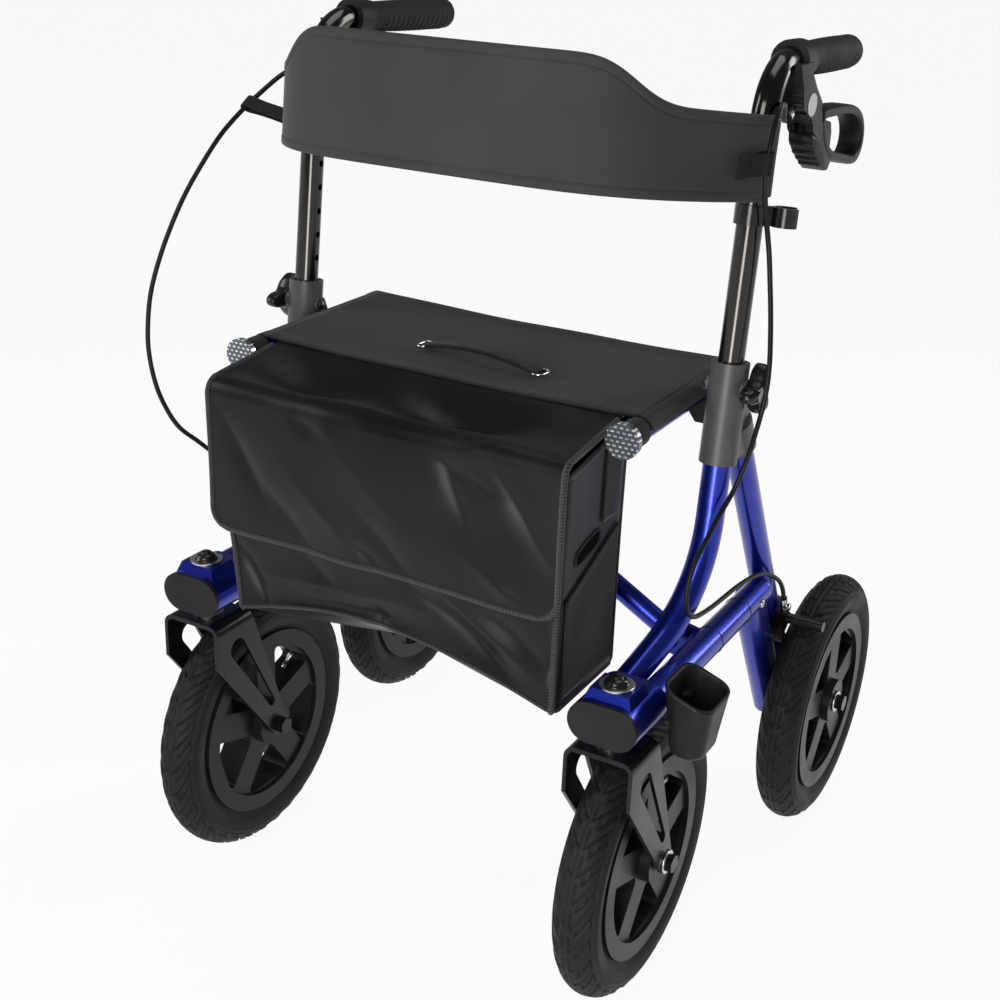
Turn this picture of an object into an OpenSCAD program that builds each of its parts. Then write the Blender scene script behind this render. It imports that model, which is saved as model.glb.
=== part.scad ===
// All terrain rollator: a folding tube frame on four air-filled wheels, with seat, bag, backrest and brakes.
// The origin is on the floor under the frame's middle. X points to the walker's left, -Y to the front, Z up.

/* [Wheels] */
// Outer diameter of the tyres
wheel_od = 300; // [290:1:310]
// Width of the tyres
tyre_w = 47; // [42:1:50]
// Thickness of the tyre's wall
tyre_wall = 5; // [3:0.5:7]
// Height of the tyre over the rim's flanges
tyre_h = 42.5; // [40:0.5:45]
// Height of the rim from its flanges to where the spokes end
rim_h = 18.5; // [16:0.5:22]
// Width of the rim over its flanges
rim_w = 42; // [38:1:46]
// Number of spokes in each rim
spokes = 5; // [3:1:7]
// Width of each spoke
spoke_w = 32; // [26:1:36]
// Thickness of each spoke along the axle
spoke_t = 34; // [10:1:36]
// Diameter of the hubs
hub_d = 52; // [40:1:60]
// Length of the rear hubs
hub_w = 50; // [46:1:54]
// Length of the front hubs
front_hub_w = 57; // [52:1:58]
// Diameter of the axles
axle_d = 12; // [8:1:14]
// Distance from the front axles to the rear axles
wheelbase = 405; // [395:1:415]

/* [Casters] */
// How far the front axles trail their swivel axes
caster_trail = 74; // [68:1:80]
// How far the swivel axes sit inside the side frames
caster_inset = 8; // [4:1:12]
// Gap between tyre and fork on each side
fork_side_gap = 8; // [6:1:10]
// Gap between tyre and fork crown
crown_gap = 11; // [8:1:14]
// Thickness of the fork's plate
fork_t = 4; // [3:0.5:5]
// Diameter of the swivel stem
stem_d = 14; // [12:1:16]
// Width of the caster head's oval tube
head_w = 70; // [68:1:72]
// Height of the caster head's oval tube
head_h = 42; // [40:1:46]
// Length of the caster head's oval tube
head_len = 64; // [60:1:68]
// Height of the boss on top of the caster head
boss_h = 9; // [6:1:12]

/* [Frame] */
// Distance between the middles of the two side frames
frame_w = 496; // [480:2:520]
// Diameter of the front and rear legs
tube_d = 28; // [27.5:0.5:30]
// Diameter of the lower bars
bar_d = 30; // [28:1:32]
// Lean of the handle posts from upright, in degrees
post_lean = 5.7; // [4.5:0.1:7]
// Lean of the rear legs from upright, in degrees
rear_lean = 32; // [31:0.5:33]
// Diameter of the telescoping handle posts
post_d = 25; // [23:0.5:25]
// Wall of the handle posts and rails
tube_wall = 2; // [1.5:0.1:2.5]
// Radius of the front leg's bend
leg_bend_r = 136; // [110:1:150]
// Outer diameter of the moulded sleeves
sleeve_d = 37; // [35:0.5:38]

/* [Seat and fold] */
// Height of the seat rails' middle above the floor
rail_z = 597; // [585:1:610]
// Diameter of the seat rails
rail_d = 22; // [20:1:23]
// Length of the seat rails
rail_len = 244; // [230:1:260]
// Diameter of the cross braces
brace_d = 22; // [18:1:22]
// Diameter of the brace pins
pin_d = 10; // [8:1:12]
// Length of bare rail in front of the seat fabric
rail_bare = 31; // [24:1:40]
// Thickness of the seat fabric
seat_t = 2.5; // [1.5:0.5:4]

/* [Handles] */
// Height of the grips' middle at the bend
grip_z = 908; // [890:1:930]
// Length of the rubber grips
grip_len = 164; // [150:1:170]
// Diameter of the rubber grips
grip_d = 34; // [31:0.5:36]
// Radius of the handle post's bend
post_bend_r = 55; // [45:1:60]
// Width of the brake lever's loop
lever_w = 26; // [20:1:28]
// Thickness of the brake lever's loop
lever_t = 10; // [8:0.5:12]

/* [Backrest] */
// How far the backrest bows to the front
back_bow = 152; // [130:1:165]
// Height of the backrest's ends
back_end_h = 77; // [70:1:80]
// Height of the backrest in the middle
back_mid_h = 118; // [110:1:125]
// Thickness of the backrest
back_t = 6; // [4:0.5:8]

/* [Bag] */
// Depth of the bag from front to rear
bag_depth = 127; // [110:1:132]
// Height of the bag
bag_h = 236; // [200:1:240]
// Thickness of the bag's walls
bag_wall = 3; // [2:0.5:5]
// How far the flap hangs down the front
flap_drop = 156; // [120:1:190]

/* [Cane holder] */
// Width of the cane cup across the frame
cup_w = 49; // [44:1:50]
// Length of the cane cup along the frame
cup_len = 65; // [58:1:68]
// Height of the cane cup
cup_h = 75; // [68:1:80]
// Wall of the cane cup
cup_wall = 3; // [2:0.5:4]
// Diameter of the cane that the clip holds
cane_d = 20; // [17:0.5:22]

/* [Hidden] */
$fn = 48;

// Clearances: a seated fit, a running fit, and a gap between pieces that pass each other
fit = 0.1;
run_fit = 0.05;
clear = 0.3;
// How far cuts run past the faces that they open, and the step where a bend meets its straight tubes
over = 1;
weld = 0.1;

// Places along the frame
side_x = frame_w / 2;
wheel_r = wheel_od / 2;
rim_od = wheel_od - 2 * tyre_h;
rim_id = rim_od - 2 * rim_h;
front_y = -wheelbase / 2;
rear_y = wheelbase / 2;
steer_y = front_y - caster_trail;
head_x = side_x - caster_inset;

// Wheel sections
flange_t = 3;
bead_r = rim_od / 2 - 2.5 * flange_t;
bead_w = rim_w - 2 * flange_t - 2 * fit;
tyre_mid_r = wheel_r - tyre_w / 2;
window_r = 6;
window_gap = 7;
axle_spacer = 4;
rear_x = side_x + tube_d / 2 + axle_spacer + hub_w / 2;
nut_d = 20;
nut_t = 9;
washer_t = 2;
washer_d = 24;
collar_d = 20;

// Fork and caster head
fork_gap = tyre_w + 2 * fork_side_gap;
crown_z = wheel_od + crown_gap;
crown_t = 5;
crown_round = 12;
fork_front = 30;
fork_rear = 27;
fork_knee_drop = 46;
fork_knee_z = crown_z - fork_knee_drop;
fork_eye_r = 13;
fork_slot_r = 5;
fork_slot_wide = 12;
fork_slot_top = [4, -33];
fork_slot_low = [-14, 36];
stem_hex_d = 22;
stem_hex_t = 4.5;
thrust_h = 8;
thrust_d = 34;
head_z = crown_z + crown_t + thrust_h + head_h / 2;
head_top = head_z + head_h / 2;
head_lead = 23.5;
head_front_y = steer_y - head_lead;
head_rear_y = head_front_y + head_len;
head_wall = 3;
bearing_d = 36;
boss_w = 52;
boss_len = 44;
boss_slope = 6;
boss_sink = 8;
cap_t = 5;
cap_plug = 4;
dome_d = 20;
dome_h = 10;
stem_washer_d = 34;

// Legs, lower bar and rear strut
twin_gap = 5;
twin = (tube_d + bar_d) / 2 + twin_gap;
bar_x = head_x + twin / 2;
leg_end_drop = 4;
leg_end = [head_x - twin / 2, head_rear_y, head_z - leg_end_drop];
leg_bore = post_d + 2 * fit;
rear_leg_tail = 18;
plug_t = 8;
rear_dir = [0, -sin(rear_lean), cos(rear_lean)];
rear_foot = [side_x, rear_y, wheel_r];
strut_d = 28;
strut_pitch = 16;
strut_off = (tube_d + strut_d) / 2 + clear;
strut_low = 32;
strut_len = (head_z - wheel_r + strut_off * sin(rear_lean)) / cos(rear_lean) - strut_low;
strut_head_y = rear_y - strut_off * cos(rear_lean) - (strut_low + strut_len) * sin(rear_lean);
strut_wall = 3;

// Post line: it passes the rear leg's top at a set distance
joint_drop = 32;
joint_z = rail_z - joint_drop;
leg_gap = 34.7;
joint_y = rear_y - (joint_z - wheel_r) * tan(rear_lean) - leg_gap;
function post_at(z) = [side_x, joint_y + (z - joint_z) * tan(post_lean), z];
rear_len = (joint_z - wheel_r) / cos(rear_lean);
rear_top = rear_foot + rear_dir * rear_len;
sleeve_drop = 59;
sleeve_rise = 40;
sleeve_lo = rail_z - sleeve_drop;
sleeve_hi = rail_z + sleeve_rise;
sleeve_len = (sleeve_hi - sleeve_lo) / cos(post_lean);
sleeve_lip = 5;
lobe_wall = 4;
lobe_d = tube_d + 2 * lobe_wall;
lobe_len = 38;
web_w = 26;
web_top = 7;
bend_rise = 58;
leg_bend = post_at(head_z + bend_rise);
knob_rise = 16;
knob_z = rail_z + knob_rise;
knob_y = post_at(knob_z).y;
knob_screw_d = 8;
knob_boss_d = 20;
knob_boss_t = 2;
knob_x = side_x + sleeve_d / 2 + knob_boss_t + clear;
knob_t = 15;
knob_core_r = 13;
knob_reach = 18;
knob_lobe_r = 6;
knob_lobes = 3;
inner_screw_d = 14;
inner_screw_t = 2;

// Handle
post_stub = 7;
post_low = post_at(rail_z - post_stub);
post_top = post_at(grip_z);
grip_drop = 8;
grip_toe = 5;
grip_run = 238;
grip_end = post_top + [-grip_toe, grip_run, -grip_drop];
grip_dir = (grip_end - post_top) / norm(grip_end - post_top);
grip_round = 10;
grip_cap = 4;
grip_back = grip_len - grip_cap;
hole_d = 7;
hole_step = 25;
hole_count = 6;
clamp_ring_d = 38;
clamp_ring_len = 25;
ring_gap = 1;
ring_mid = grip_end - grip_dir * (grip_back + ring_gap + clamp_ring_len / 2);
// Housing outline from the clamp ring's middle, and the lever's loop from its pivot, both in Y and Z
housing_off = 6;
housing_w = 26;
housing_line = [[-37, 0], [-23, -22], [-17, -41], [10, -54], [20, -66], [36, -52], [35, -40], [14, -24],
  [-1, -10], [-1, 0]];
lever_back = 27;
lever_drop = 57;
lever_pivot = [ring_mid.y + lever_back, ring_mid.z - lever_drop];
pivot_eye_r = 13;
pivot_d = 8;
tongue_w = 10;
tongue_d = 16;
slot_r = 15;
lever_line = [[26, 2], [100, 0], [124, -4], [143, -12], [154, -24], [157, -36], [153, -47], [143, -54],
  [130, -54], [61, -40], [28, -14]];
adjuster_d = 9;
adjuster_len = 14;
adjuster_drop = 42;
adjuster_lead = 16;
adjuster_z = ring_mid.z - adjuster_drop;
adjuster_y = ring_mid.y - adjuster_lead;
adjuster_tip = [-12, -7];

// Brake at the rear wheel, in the rear leg's own frame: Y to the rear, Z up the leg
shoe_d = 12;
shoe_gap = 3.3;
shoe_z = wheel_r + shoe_gap + shoe_d / 2;
saddle_wall = 5;
saddle_d = tube_d + 2 * saddle_wall;
saddle_len = 30;
saddle_lap = 4;
plate_in = tube_d / 2 + clear;
plate_t = 5;
arm_pivot_y = -26;
arm_pin_d = 8;
arm_eye_d = 15;
arm_t = 5;
pin_cap_d = 13;
pin_cap_t = 3;
shoe_run = 46;
tab_y = -3;
tab_rise = 18;
tab_z = shoe_z + tab_rise;
tab_w = 14;
tab_t = 7;
barrel_x = 24;
barrel_d = 8;
barrel_len = 20;

// Fold
pivot_inset = 20;
brace_rise = 6;
pivot_x = side_x - pivot_inset;
brace_pivot_z = head_z + brace_rise;
rail_gap = 35;
rail_x = side_x - rail_gap;
brace_lead = 12.7;
brace_y = post_at(rail_z).y - brace_lead;
brace_wall = 1.8;
brace_off = brace_d / 2 + over;
lug_ear_t = 5;
pin_head_d = 16;
pin_head_t = 5;
brace_lean = atan((rail_z - brace_pivot_z) / (pivot_x + rail_x));
brace_len = norm([pivot_x + rail_x, rail_z - brace_pivot_z]);
pin_z = brace_pivot_z + pivot_x * tan(brace_lean);
rail_lead = 150;
rail_front_y = post_at(rail_z).y - rail_lead;
reflector_d = 34;
reflector_t = 6;
reflector_plug = 12;
cradle_back = 14;
cradle_len = 28;
cradle_wall = 4;
cradle_drop = 31;
seat_rear_y = rail_front_y + rail_len;
seat_depth = rail_len - rail_bare;
seat_front_y = seat_rear_y - seat_depth;
seat_z = rail_z + rail_d / 2 + clear;
seat_lap = 9;

// Backrest: plan curve, lean and top outline
back_rise = 191;
back_lap = 13;
back_low_z = rail_z + back_rise;
back_end_x = side_x + back_lap;
back_end_y = -6;
back_power = 4.5;
back_steps = 56;
back_sleeve_t = 3;
back_tail = 8;
back_fall = [[140, 0], [156, 0.07], [170, 0.27], [184, 0.59], [196, 0.83], [208, 0.93]];

// Bag
bag_x = rail_x - reflector_d / 2 - clear;
bag_lead = 74;
bag_front_y = rail_front_y - bag_lead;
bag_rear_y = bag_front_y + bag_depth;
bag_rise = 1;
bag_top = rail_z + bag_rise;
bag_low = bag_top - bag_h;
bag_round = 10;
flap_t = 2.5;
flap_x = bag_x - over;
flap_round = 16;
flap_lap = 4;
flap_rise = 4;
flap_hinge_y = seat_front_y + flap_lap;
flap_z = bag_top + flap_rise;

// Cane holder
cup_gap = 2.5;
cup_x = head_x + head_w / 2 + cup_gap;
cup_lag = 11;
cup_rise = 5;
cup_y = steer_y + cup_lag;
cup_low = wheel_od + cup_rise;
cup_round = 12;
cup_foot_share = 0.68;
cup_arm_h = 20;
cup_arm_len = 18;
cup_arm_back = 22;
clip_rise = 169;
clip_arm = 6;
clip_z = rail_z + clip_rise;
clip_h = 18;
clip_t = 3;
clip_turn = 25;
clip_tab = 8;
clip_mouth_share = 0.75;

// Brake cables: steps from named places along each route, from the brake housing down to the rear wheel
cable_d = 5;
cable_sides = 8;
cable_gap = 1.8;
cable_rest = 0.9;
handle_at = [side_x, ring_mid.y, ring_mid.z];
waist_at = post_at(rail_z);
bar_at = [side_x, waist_at.y, head_z];
adjuster_way = adjuster_tip / norm(adjuster_tip) * (adjuster_len + cable_gap);
cable_start = [side_x + housing_off, adjuster_y + adjuster_way.x, adjuster_z + adjuster_way.y];
barrel_top = tab_z + tab_t + barrel_len + cable_rest;
cable_end = rear_foot + rear_dir * barrel_top + [barrel_x, tab_y * cos(rear_lean), tab_y * sin(rear_lean)];
cable_tail = [[14, -62, 53], [14, -22, 46], [14, 15, 43], [14, 52, 40], [14, 86, 35], [15, 114, 29],
  [17, 138, 20], [21, 156, 9]];
cable_drop = [[-1, -12, 21], [0, -4, 9], [0, 0, 0]];
left_high = [[9, -41, -49], [13, -53, -40], [16, -64, -32], [17, -75, -32], [18, -87, -44], [19, -98, -66],
  [19, -102, -86], [19, -99, -106], [20, -94, -126]];
left_waist = [[22, 7, 163], [25, 9, 143], [28, 10, 119], [32, 8, 95], [36, 4, 71], [40, -2, 47], [42, -8, 25],
  [41, -12, 3], [37, -11, -19], [32, -8, -41], [27, -8, -61], [22, -13, -81], [17, -30, -101], [13, -52, -123],
  [10, -68, -142], [9, -77, -161]];
left_low = [[10, -80, 73], [12, -75, 61]];
right_high = [[9, -41, -50], [15, -55, -47], [21, -71, -47], [26, -95, -54], [31, -121, -68], [37, -149, -86],
  [44, -175, -108], [52, -197, -136]];
right_waist = [[59, -120, 145], [64, -136, 117], [68, -152, 85], [70, -166, 51], [70, -173, 19], [70, -174, -11],
  [67, -170, -45], [62, -162, -73], [53, -152, -97], [42, -134, -117], [32, -114, -139]];
right_low = [[24, -96, 91], [18, -80, 69]];
function steps_from(place, steps) = [for (p = steps) place + p];
function cable_route(high, waist, low) = concat([cable_start], steps_from(handle_at, high),
  steps_from(waist_at, waist), steps_from(bar_at, concat(low, cable_tail)), steps_from(cable_end, cable_drop));
cable_left = cable_route(left_high, left_waist, left_low);
cable_right = cable_route(right_high, right_waist, right_low);

function unit(v) = v / norm(v);

module on_right() mirror([1, 0, 0]) children();

// A profile drawn in Y and Z, made solid along X from x by t
module yz(x, t) translate([x, 0, 0]) rotate([90, 0, 90]) linear_extrude(t) children();

// A profile drawn in X and Z, made solid along Y from y by t
module xz(y, t) translate([0, y + t, 0]) rotate([90, 0, 0]) linear_extrude(t) children();

// Turns Z to point from p to q
module aim(p, q) {
  v = q - p;
  translate(p) rotate([0, acos(v.z / norm(v)), atan2(v.y, v.x)]) children();
}

module pipe(length, d, bore) difference() {
  cylinder(d = d, h = length);
  translate([0, 0, -over]) cylinder(d = bore, h = length + 2 * over);
}

// A round bar along X from x by length, through y and z
module cross_rod(x, y, z, d, length) translate([x, y, z]) rotate([0, 90, 0]) cylinder(d = d, h = length);

// A round bar along Y from y by length, through x and z
module long_rod(x, y, z, d, length) translate([x, y, z]) rotate([-90, 0, 0]) cylinder(d = d, h = length);

// Places its children's X and Y plane in the bend that turns from p over v to q, X outwards from its middle
module at_bend(p, v, q, r) {
  a = unit(v - p);
  b = unit(q - v);
  n = unit(b - a * (a * b));
  c = v - a * r * tan(acos(a * b) / 2) + n * r;
  k = cross(-n, a);
  multmatrix([[-n.x, a.x, k.x, c.x], [-n.y, a.y, k.y, c.y], [-n.z, a.z, k.z, c.z], [0, 0, 0, 1]]) children();
}

// A tube from p to q that turns at corner v on a radius
module bent_pipe(p, v, q, r, d, bore) {
  turn = acos(unit(v - p) * unit(q - v));
  reach = r * tan(turn / 2);
  aim(p, v) pipe(norm(v - p) - reach + over, d, bore);
  aim(q, v) pipe(norm(v - q) - reach + over, d, bore);
  at_bend(p, v, q, r) rotate_extrude(angle = turn) translate([r, 0]) difference() {
    circle(d = d + weld);
    circle(d = bore - weld);
  }
}

// A line of points drawn with a round pen
module stroke(points, d) for (i = [0:len(points) - 2]) {
  v = points[i + 1] - points[i];
  translate(points[i]) circle(d = d);
  translate(points[i + 1]) circle(d = d);
  translate(points[i]) rotate(atan2(v.y, v.x)) translate([0, -d / 2]) square([norm(v), d]);
}

// A closed outline moved sideways by d, with mitred corners
function edge_side(a, b) = let(v = (b - a) / norm(b - a)) [v.y, -v.x];
function mitred(points, d) = [for (i = [0:len(points) - 1])
  let(n = len(points), b = points[i], p = edge_side(points[(i + n - 1) % n], b),
    q = edge_side(b, points[(i + 1) % n])) b + (p + q) * d / (1 + p * q)];

// An outline grown by r, with round corners
module grown(points, r) {
  polygon(points);
  stroke(concat(points, [points[0]]), 2 * r);
}

// A drop shape from a round of radius r at p to a smaller round of radius e at q
module tear(p, q, r, e) {
  v = unit(q - p);
  n = [-v.y, v.x];
  polygon([p + n * r, q + n * e, q - n * e, p - n * r]);
  translate(p) circle(r);
  translate(q) circle(e);
}

// An oval with flat top and bottom
module oval(w, h) {
  square([w - h, h], center = true);
  for (s = [-1, 1]) translate([s * (w - h) / 2, 0]) circle(d = h);
}

// A rectangle with round corners
module soft_rect(w, h, r) grown([[r - w / 2, r - h / 2], [w / 2 - r, r - h / 2], [w / 2 - r, h / 2 - r],
  [r - w / 2, h / 2 - r]], r);

module at_rear_leg() translate(rear_foot) rotate([rear_lean, 0, 0]) children();

module at_post(z) translate(post_at(z)) rotate([-post_lean, 0, 0]) children();

module front_leg() color("#1c2fb0") difference() {
  leg_tail = leg_end + (leg_end - leg_bend) / 4;
  bent_pipe(post_at(sleeve_hi - sleeve_lip), leg_bend, leg_tail, leg_bend_r, tube_d, leg_bore);
  translate([leg_end.x - head_w, head_rear_y - head_len, head_z - head_len])
    cube([2 * head_w, head_len, 2 * head_len]);
  cross_rod(side_x, knob_y, knob_z, knob_screw_d + 2 * clear, tube_d);
}

module rear_leg() color("#1c2fb0") at_rear_leg() difference() {
  translate([0, 0, -rear_leg_tail]) cylinder(d = tube_d, h = rear_len + rear_leg_tail);
  translate([0, 0, plug_t - rear_leg_tail]) cylinder(d = tube_d - 2 * tube_wall, h = rear_len + rear_leg_tail);
  cross_rod(-tube_d, 0, 0, axle_d + 2 * fit, 2 * tube_d);
}

// Two ears and a pin that carry a cross brace's foot
module pivot_lug(y) {
  ear_in = brace_d / 2 + clear;
  ear_out = ear_in + lug_ear_t;
  for (y0 = [y - ear_out, y + ear_in]) xz(y0, lug_ear_t)
    stroke([[pivot_x, brace_pivot_z], [bar_x, head_z]], brace_d);
  long_rod(pivot_x, y - ear_out - pin_head_t, brace_pivot_z, pin_d, 2 * (ear_out + pin_head_t));
  for (y0 = [y - ear_out - pin_head_t, y + ear_out])
    long_rod(pivot_x, y0, brace_pivot_z, pin_head_d, pin_head_t);
}

module strut_outer() at_rear_leg() translate([0, -strut_off - strut_pitch / 2, strut_low]) {
  rotate(90) linear_extrude(strut_len) oval(strut_d + strut_pitch, strut_d);
}

module lower_bar(lug_y) color("#1c2fb0") difference() {
  union() {
    long_rod(bar_x, head_rear_y, head_z, bar_d, strut_head_y - head_rear_y);
    translate([bar_x, strut_head_y, head_z]) sphere(d = bar_d + 2 * weld);
    strut_outer();
    pivot_lug(lug_y);
  }
  long_rod(bar_x, head_rear_y - over, head_z, bar_d - 2 * tube_wall, strut_head_y - head_rear_y - 2 * strut_d);
}

module boss_shape() intersection() {
  top = head_top + boss_h;
  low = head_top - boss_sink;
  half = boss_w / 2;
  back = boss_len / 2;
  xz(steer_y - back, boss_len) polygon([[head_x - half, low], [head_x + half, low],
    [head_x + half - boss_slope, top], [head_x - half + boss_slope, top]]);
  yz(head_x - half, boss_w) polygon([[steer_y - back, low], [steer_y + back, low],
    [steer_y + back - boss_slope, top], [steer_y - back + boss_slope, top]]);
}

module caster_head() color("#1c2fb0") difference() {
  union() {
    difference() {
      union() {
        xz(head_front_y, head_len) translate([head_x, head_z]) oval(head_w, head_h);
        boss_shape();
      }
      xz(head_front_y - over, head_len + over - head_wall) translate([head_x, head_z])
        oval(head_w - 2 * head_wall, head_h - 2 * head_wall);
    }
    translate([head_x, steer_y, head_z - head_h / 2]) cylinder(d = bearing_d, h = head_h);
  }
  translate([head_x, steer_y, head_z - head_h / 2 - over])
    cylinder(d = stem_d + 2 * run_fit, h = head_h + boss_h + 2 * over);
}

module caster_cap() color("#202022") {
  xz(head_front_y - cap_t, cap_t) translate([head_x, head_z]) oval(head_w, head_h);
  xz(head_front_y - cap_t, cap_t + cap_plug) translate([head_x, head_z])
    oval(head_w - 2 * head_wall - 2 * fit, head_h - 2 * head_wall - 2 * fit);
}

module caster_bolt() color("#c8c8c8") translate([head_x, steer_y, 0]) {
  collar_z = crown_z + crown_t;
  washer_z = head_top + boss_h + clear;
  translate([0, 0, crown_z - stem_hex_t]) cylinder(d = stem_hex_d, h = stem_hex_t, $fn = 6);
  translate([0, 0, crown_z - stem_hex_t]) cylinder(d = stem_d, h = washer_z + washer_t + dome_h - crown_z);
  translate([0, 0, collar_z]) cylinder(d = thrust_d, h = thrust_h - clear);
  translate([0, 0, washer_z]) cylinder(d = stem_washer_d, h = washer_t);
  translate([0, 0, washer_z + washer_t]) cylinder(d = dome_d, h = dome_h);
}

module fork_sides() {
  eye = [front_y, wheel_r];
  knee = [steer_y - fork_front, fork_knee_z];
  heel = [steer_y + fork_rear, crown_z + crown_t];
  down = fork_eye_r * unit(eye - knee);
  up = fork_eye_r * unit(heel - eye);
  crown = [steer_y, crown_z];
  difference() {
    union() {
      yz(head_x - fork_gap, 2 * fork_gap)
        polygon([knee, [knee.x, heel.y], heel, eye + [up.y, -up.x], eye + [down.y, -down.x]]);
      cross_rod(head_x - fork_gap, front_y, wheel_r, 2 * fork_eye_r, 2 * fork_gap);
    }
    yz(head_x - 2 * fork_gap, 4 * fork_gap)
      tear(crown + fork_slot_top, eye + fork_slot_low, fork_slot_wide, fork_slot_r);
  }
}

module caster_fork() color("#1b1b1d") difference() {
  intersection() {
    fork_sides();
    xz(steer_y - 2 * fork_front, caster_trail + 4 * fork_front) translate([head_x, crown_z + crown_t - wheel_r])
      difference() {
        soft_rect(fork_gap + 2 * fork_t, wheel_od, crown_round);
        translate([0, -crown_t]) soft_rect(fork_gap, wheel_od, crown_round - crown_t);
      }
  }
  translate([head_x, steer_y, crown_z - over]) cylinder(d = stem_d + 2 * fit, h = crown_t + 2 * over);
  cross_rod(head_x - fork_gap, front_y, wheel_r, axle_d + 2 * fit, 2 * fork_gap);
}

module axle_hex(x, y) translate([x, y, wheel_r]) rotate([0, 90, 0]) cylinder(d = nut_d, h = nut_t, $fn = 6);

module front_axle() color("#8c8c90") {
  half = fork_gap / 2 + fork_t;
  collar = (fork_gap - front_hub_w) / 2 - clear;
  cross_rod(head_x - half - nut_t, front_y, wheel_r, axle_d, 2 * (half + nut_t));
  axle_hex(head_x - half - nut_t, front_y);
  axle_hex(head_x + half, front_y);
  for (x = [head_x - fork_gap / 2, head_x + fork_gap / 2 - collar])
    cross_rod(x, front_y, wheel_r, collar_d, collar);
}

module rear_axle() color("#8c8c90") {
  inner_x = side_x - tube_d / 2 - nut_t;
  outer_x = rear_x + hub_w / 2 + clear;
  cross_rod(inner_x, rear_y, wheel_r, axle_d, outer_x + washer_t + nut_t - inner_x);
  axle_hex(inner_x, rear_y);
  cross_rod(side_x + tube_d / 2, rear_y, wheel_r, collar_d, axle_spacer - clear);
  cross_rod(outer_x, rear_y, wheel_r, washer_d, washer_t);
  axle_hex(outer_x + washer_t, rear_y);
}

// One window between two spokes
module rim_window() {
  inner_r = hub_d / 2 + window_gap + window_r;
  outer_r = rim_id / 2 - window_r - over;
  turn_in = 180 / spokes - asin((spoke_w / 2 + window_r) / inner_r);
  turn_out = 180 / spokes - asin((spoke_w / 2 + window_r) / outer_r);
  grown([for (p = [[inner_r, -turn_in], [outer_r, -turn_out], [outer_r, turn_out], [inner_r, turn_in]])
    p[0] * [cos(p[1]), sin(p[1])]], window_r);
}

module rim(x, y, hub) color("#2b2b2d") translate([x, y, wheel_r]) rotate([0, 90, 0]) difference() {
  union() {
    rotate_extrude() {
      translate([rim_id / 2, -rim_w / 2]) square([bead_r - rim_id / 2, rim_w]);
      for (s = [-rim_w / 2, rim_w / 2 - flange_t]) translate([rim_id / 2, s]) square([rim_h, flange_t]);
    }
    cylinder(d = hub_d, h = hub, center = true);
    translate([0, 0, -spoke_t / 2]) linear_extrude(spoke_t) difference() {
      circle(d = rim_id + flange_t);
      for (i = [1:spokes]) rotate(i * 360 / spokes) rim_window();
    }
  }
  cylinder(d = axle_d + 2 * run_fit, h = hub + 2 * over, center = true);
}

module tyre(x, y) color("#161616") translate([x, y, wheel_r]) rotate([0, 90, 0]) rotate_extrude() difference() {
  union() {
    translate([tyre_mid_r, 0]) circle(d = tyre_w);
    translate([bead_r + fit, -bead_w / 2]) square([tyre_mid_r - bead_r - fit, bead_w]);
  }
  translate([tyre_mid_r, 0]) circle(d = tyre_w - 2 * tyre_wall);
}

module post_sleeve() color("#232325") difference() {
  union() {
    at_post(sleeve_lo) cylinder(d = sleeve_d, h = sleeve_len);
    at_rear_leg() translate([0, 0, rear_len + plug_t - lobe_len]) cylinder(d = lobe_d, h = lobe_len);
    yz(side_x - web_w / 2, web_w) polygon([[post_at(sleeve_lo).y, sleeve_lo],
      [rear_top.y + lobe_d / 2, sleeve_lo], [rear_top.y + lobe_d / 2, sleeve_lo + web_top],
      [post_at(knob_z).y + sleeve_d / 2 - fit, knob_z], [post_at(knob_z).y, sleeve_hi - web_top]]);
    cross_rod(side_x, knob_y, knob_z, knob_boss_d, sleeve_d / 2 + knob_boss_t);
    cross_rod(side_x - sleeve_d / 2 - inner_screw_t, knob_y, knob_z, inner_screw_d, sleeve_d / 2);
  }
  at_post(sleeve_lo) translate([0, 0, -head_h])
    cylinder(d = tube_d + 2 * fit, h = head_h + sleeve_len - sleeve_lip + fit);
  at_post(sleeve_lo) cylinder(d = post_d + 2 * clear, h = sleeve_len + over);
  at_rear_leg() cylinder(d = tube_d + 2 * fit, h = rear_len + fit);
  cross_rod(side_x, knob_y, knob_z, knob_screw_d + 2 * clear, sleeve_d + knob_boss_t);
}

module rail_cradle() color("#232325") difference() {
  lip_x = rail_x - rail_d / 2 - cradle_wall;
  root_x = side_x - web_w / 2 - fit;
  xz(post_at(rail_z).y + cradle_back, cradle_len) difference() {
    polygon([[lip_x, rail_z], [lip_x, rail_z - rail_d / 2], [rail_x, rail_z - cradle_drop],
      [root_x, rail_z - cradle_drop], [root_x, rail_z]]);
    translate([rail_x, rail_z]) circle(d = rail_d + 2 * clear);
  }
  at_post(sleeve_lo) translate([0, 0, -head_h]) cylinder(d = sleeve_d + 2 * fit, h = head_h + sleeve_len);
  at_rear_leg() cylinder(d = lobe_d + 2 * fit, h = rear_len + lobe_len);
}

module handle_post() color("#26262a") difference() {
  bent_pipe(post_low, post_top, grip_end, post_bend_r, post_d, post_d - 2 * tube_wall);
  for (i = [1:hole_count]) let (z = sleeve_hi + i * hole_step)
    cross_rod(side_x - post_d, post_at(z).y, z, hole_d, post_d);
}

module hand_grip() color("#1d1d1e") aim(grip_end - grip_dir * grip_back, grip_end) difference() {
  rotate_extrude() intersection() {
    grown([[0, 0], [grip_d / 2 - grip_round, 0], [grip_d / 2 - grip_round, grip_len - grip_round],
      [0, grip_len - grip_round]], grip_round);
    square([grip_d, grip_len]);
  }
  translate([0, 0, -over]) cylinder(d = post_d + 2 * fit, h = grip_back + over + fit);
}

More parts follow.
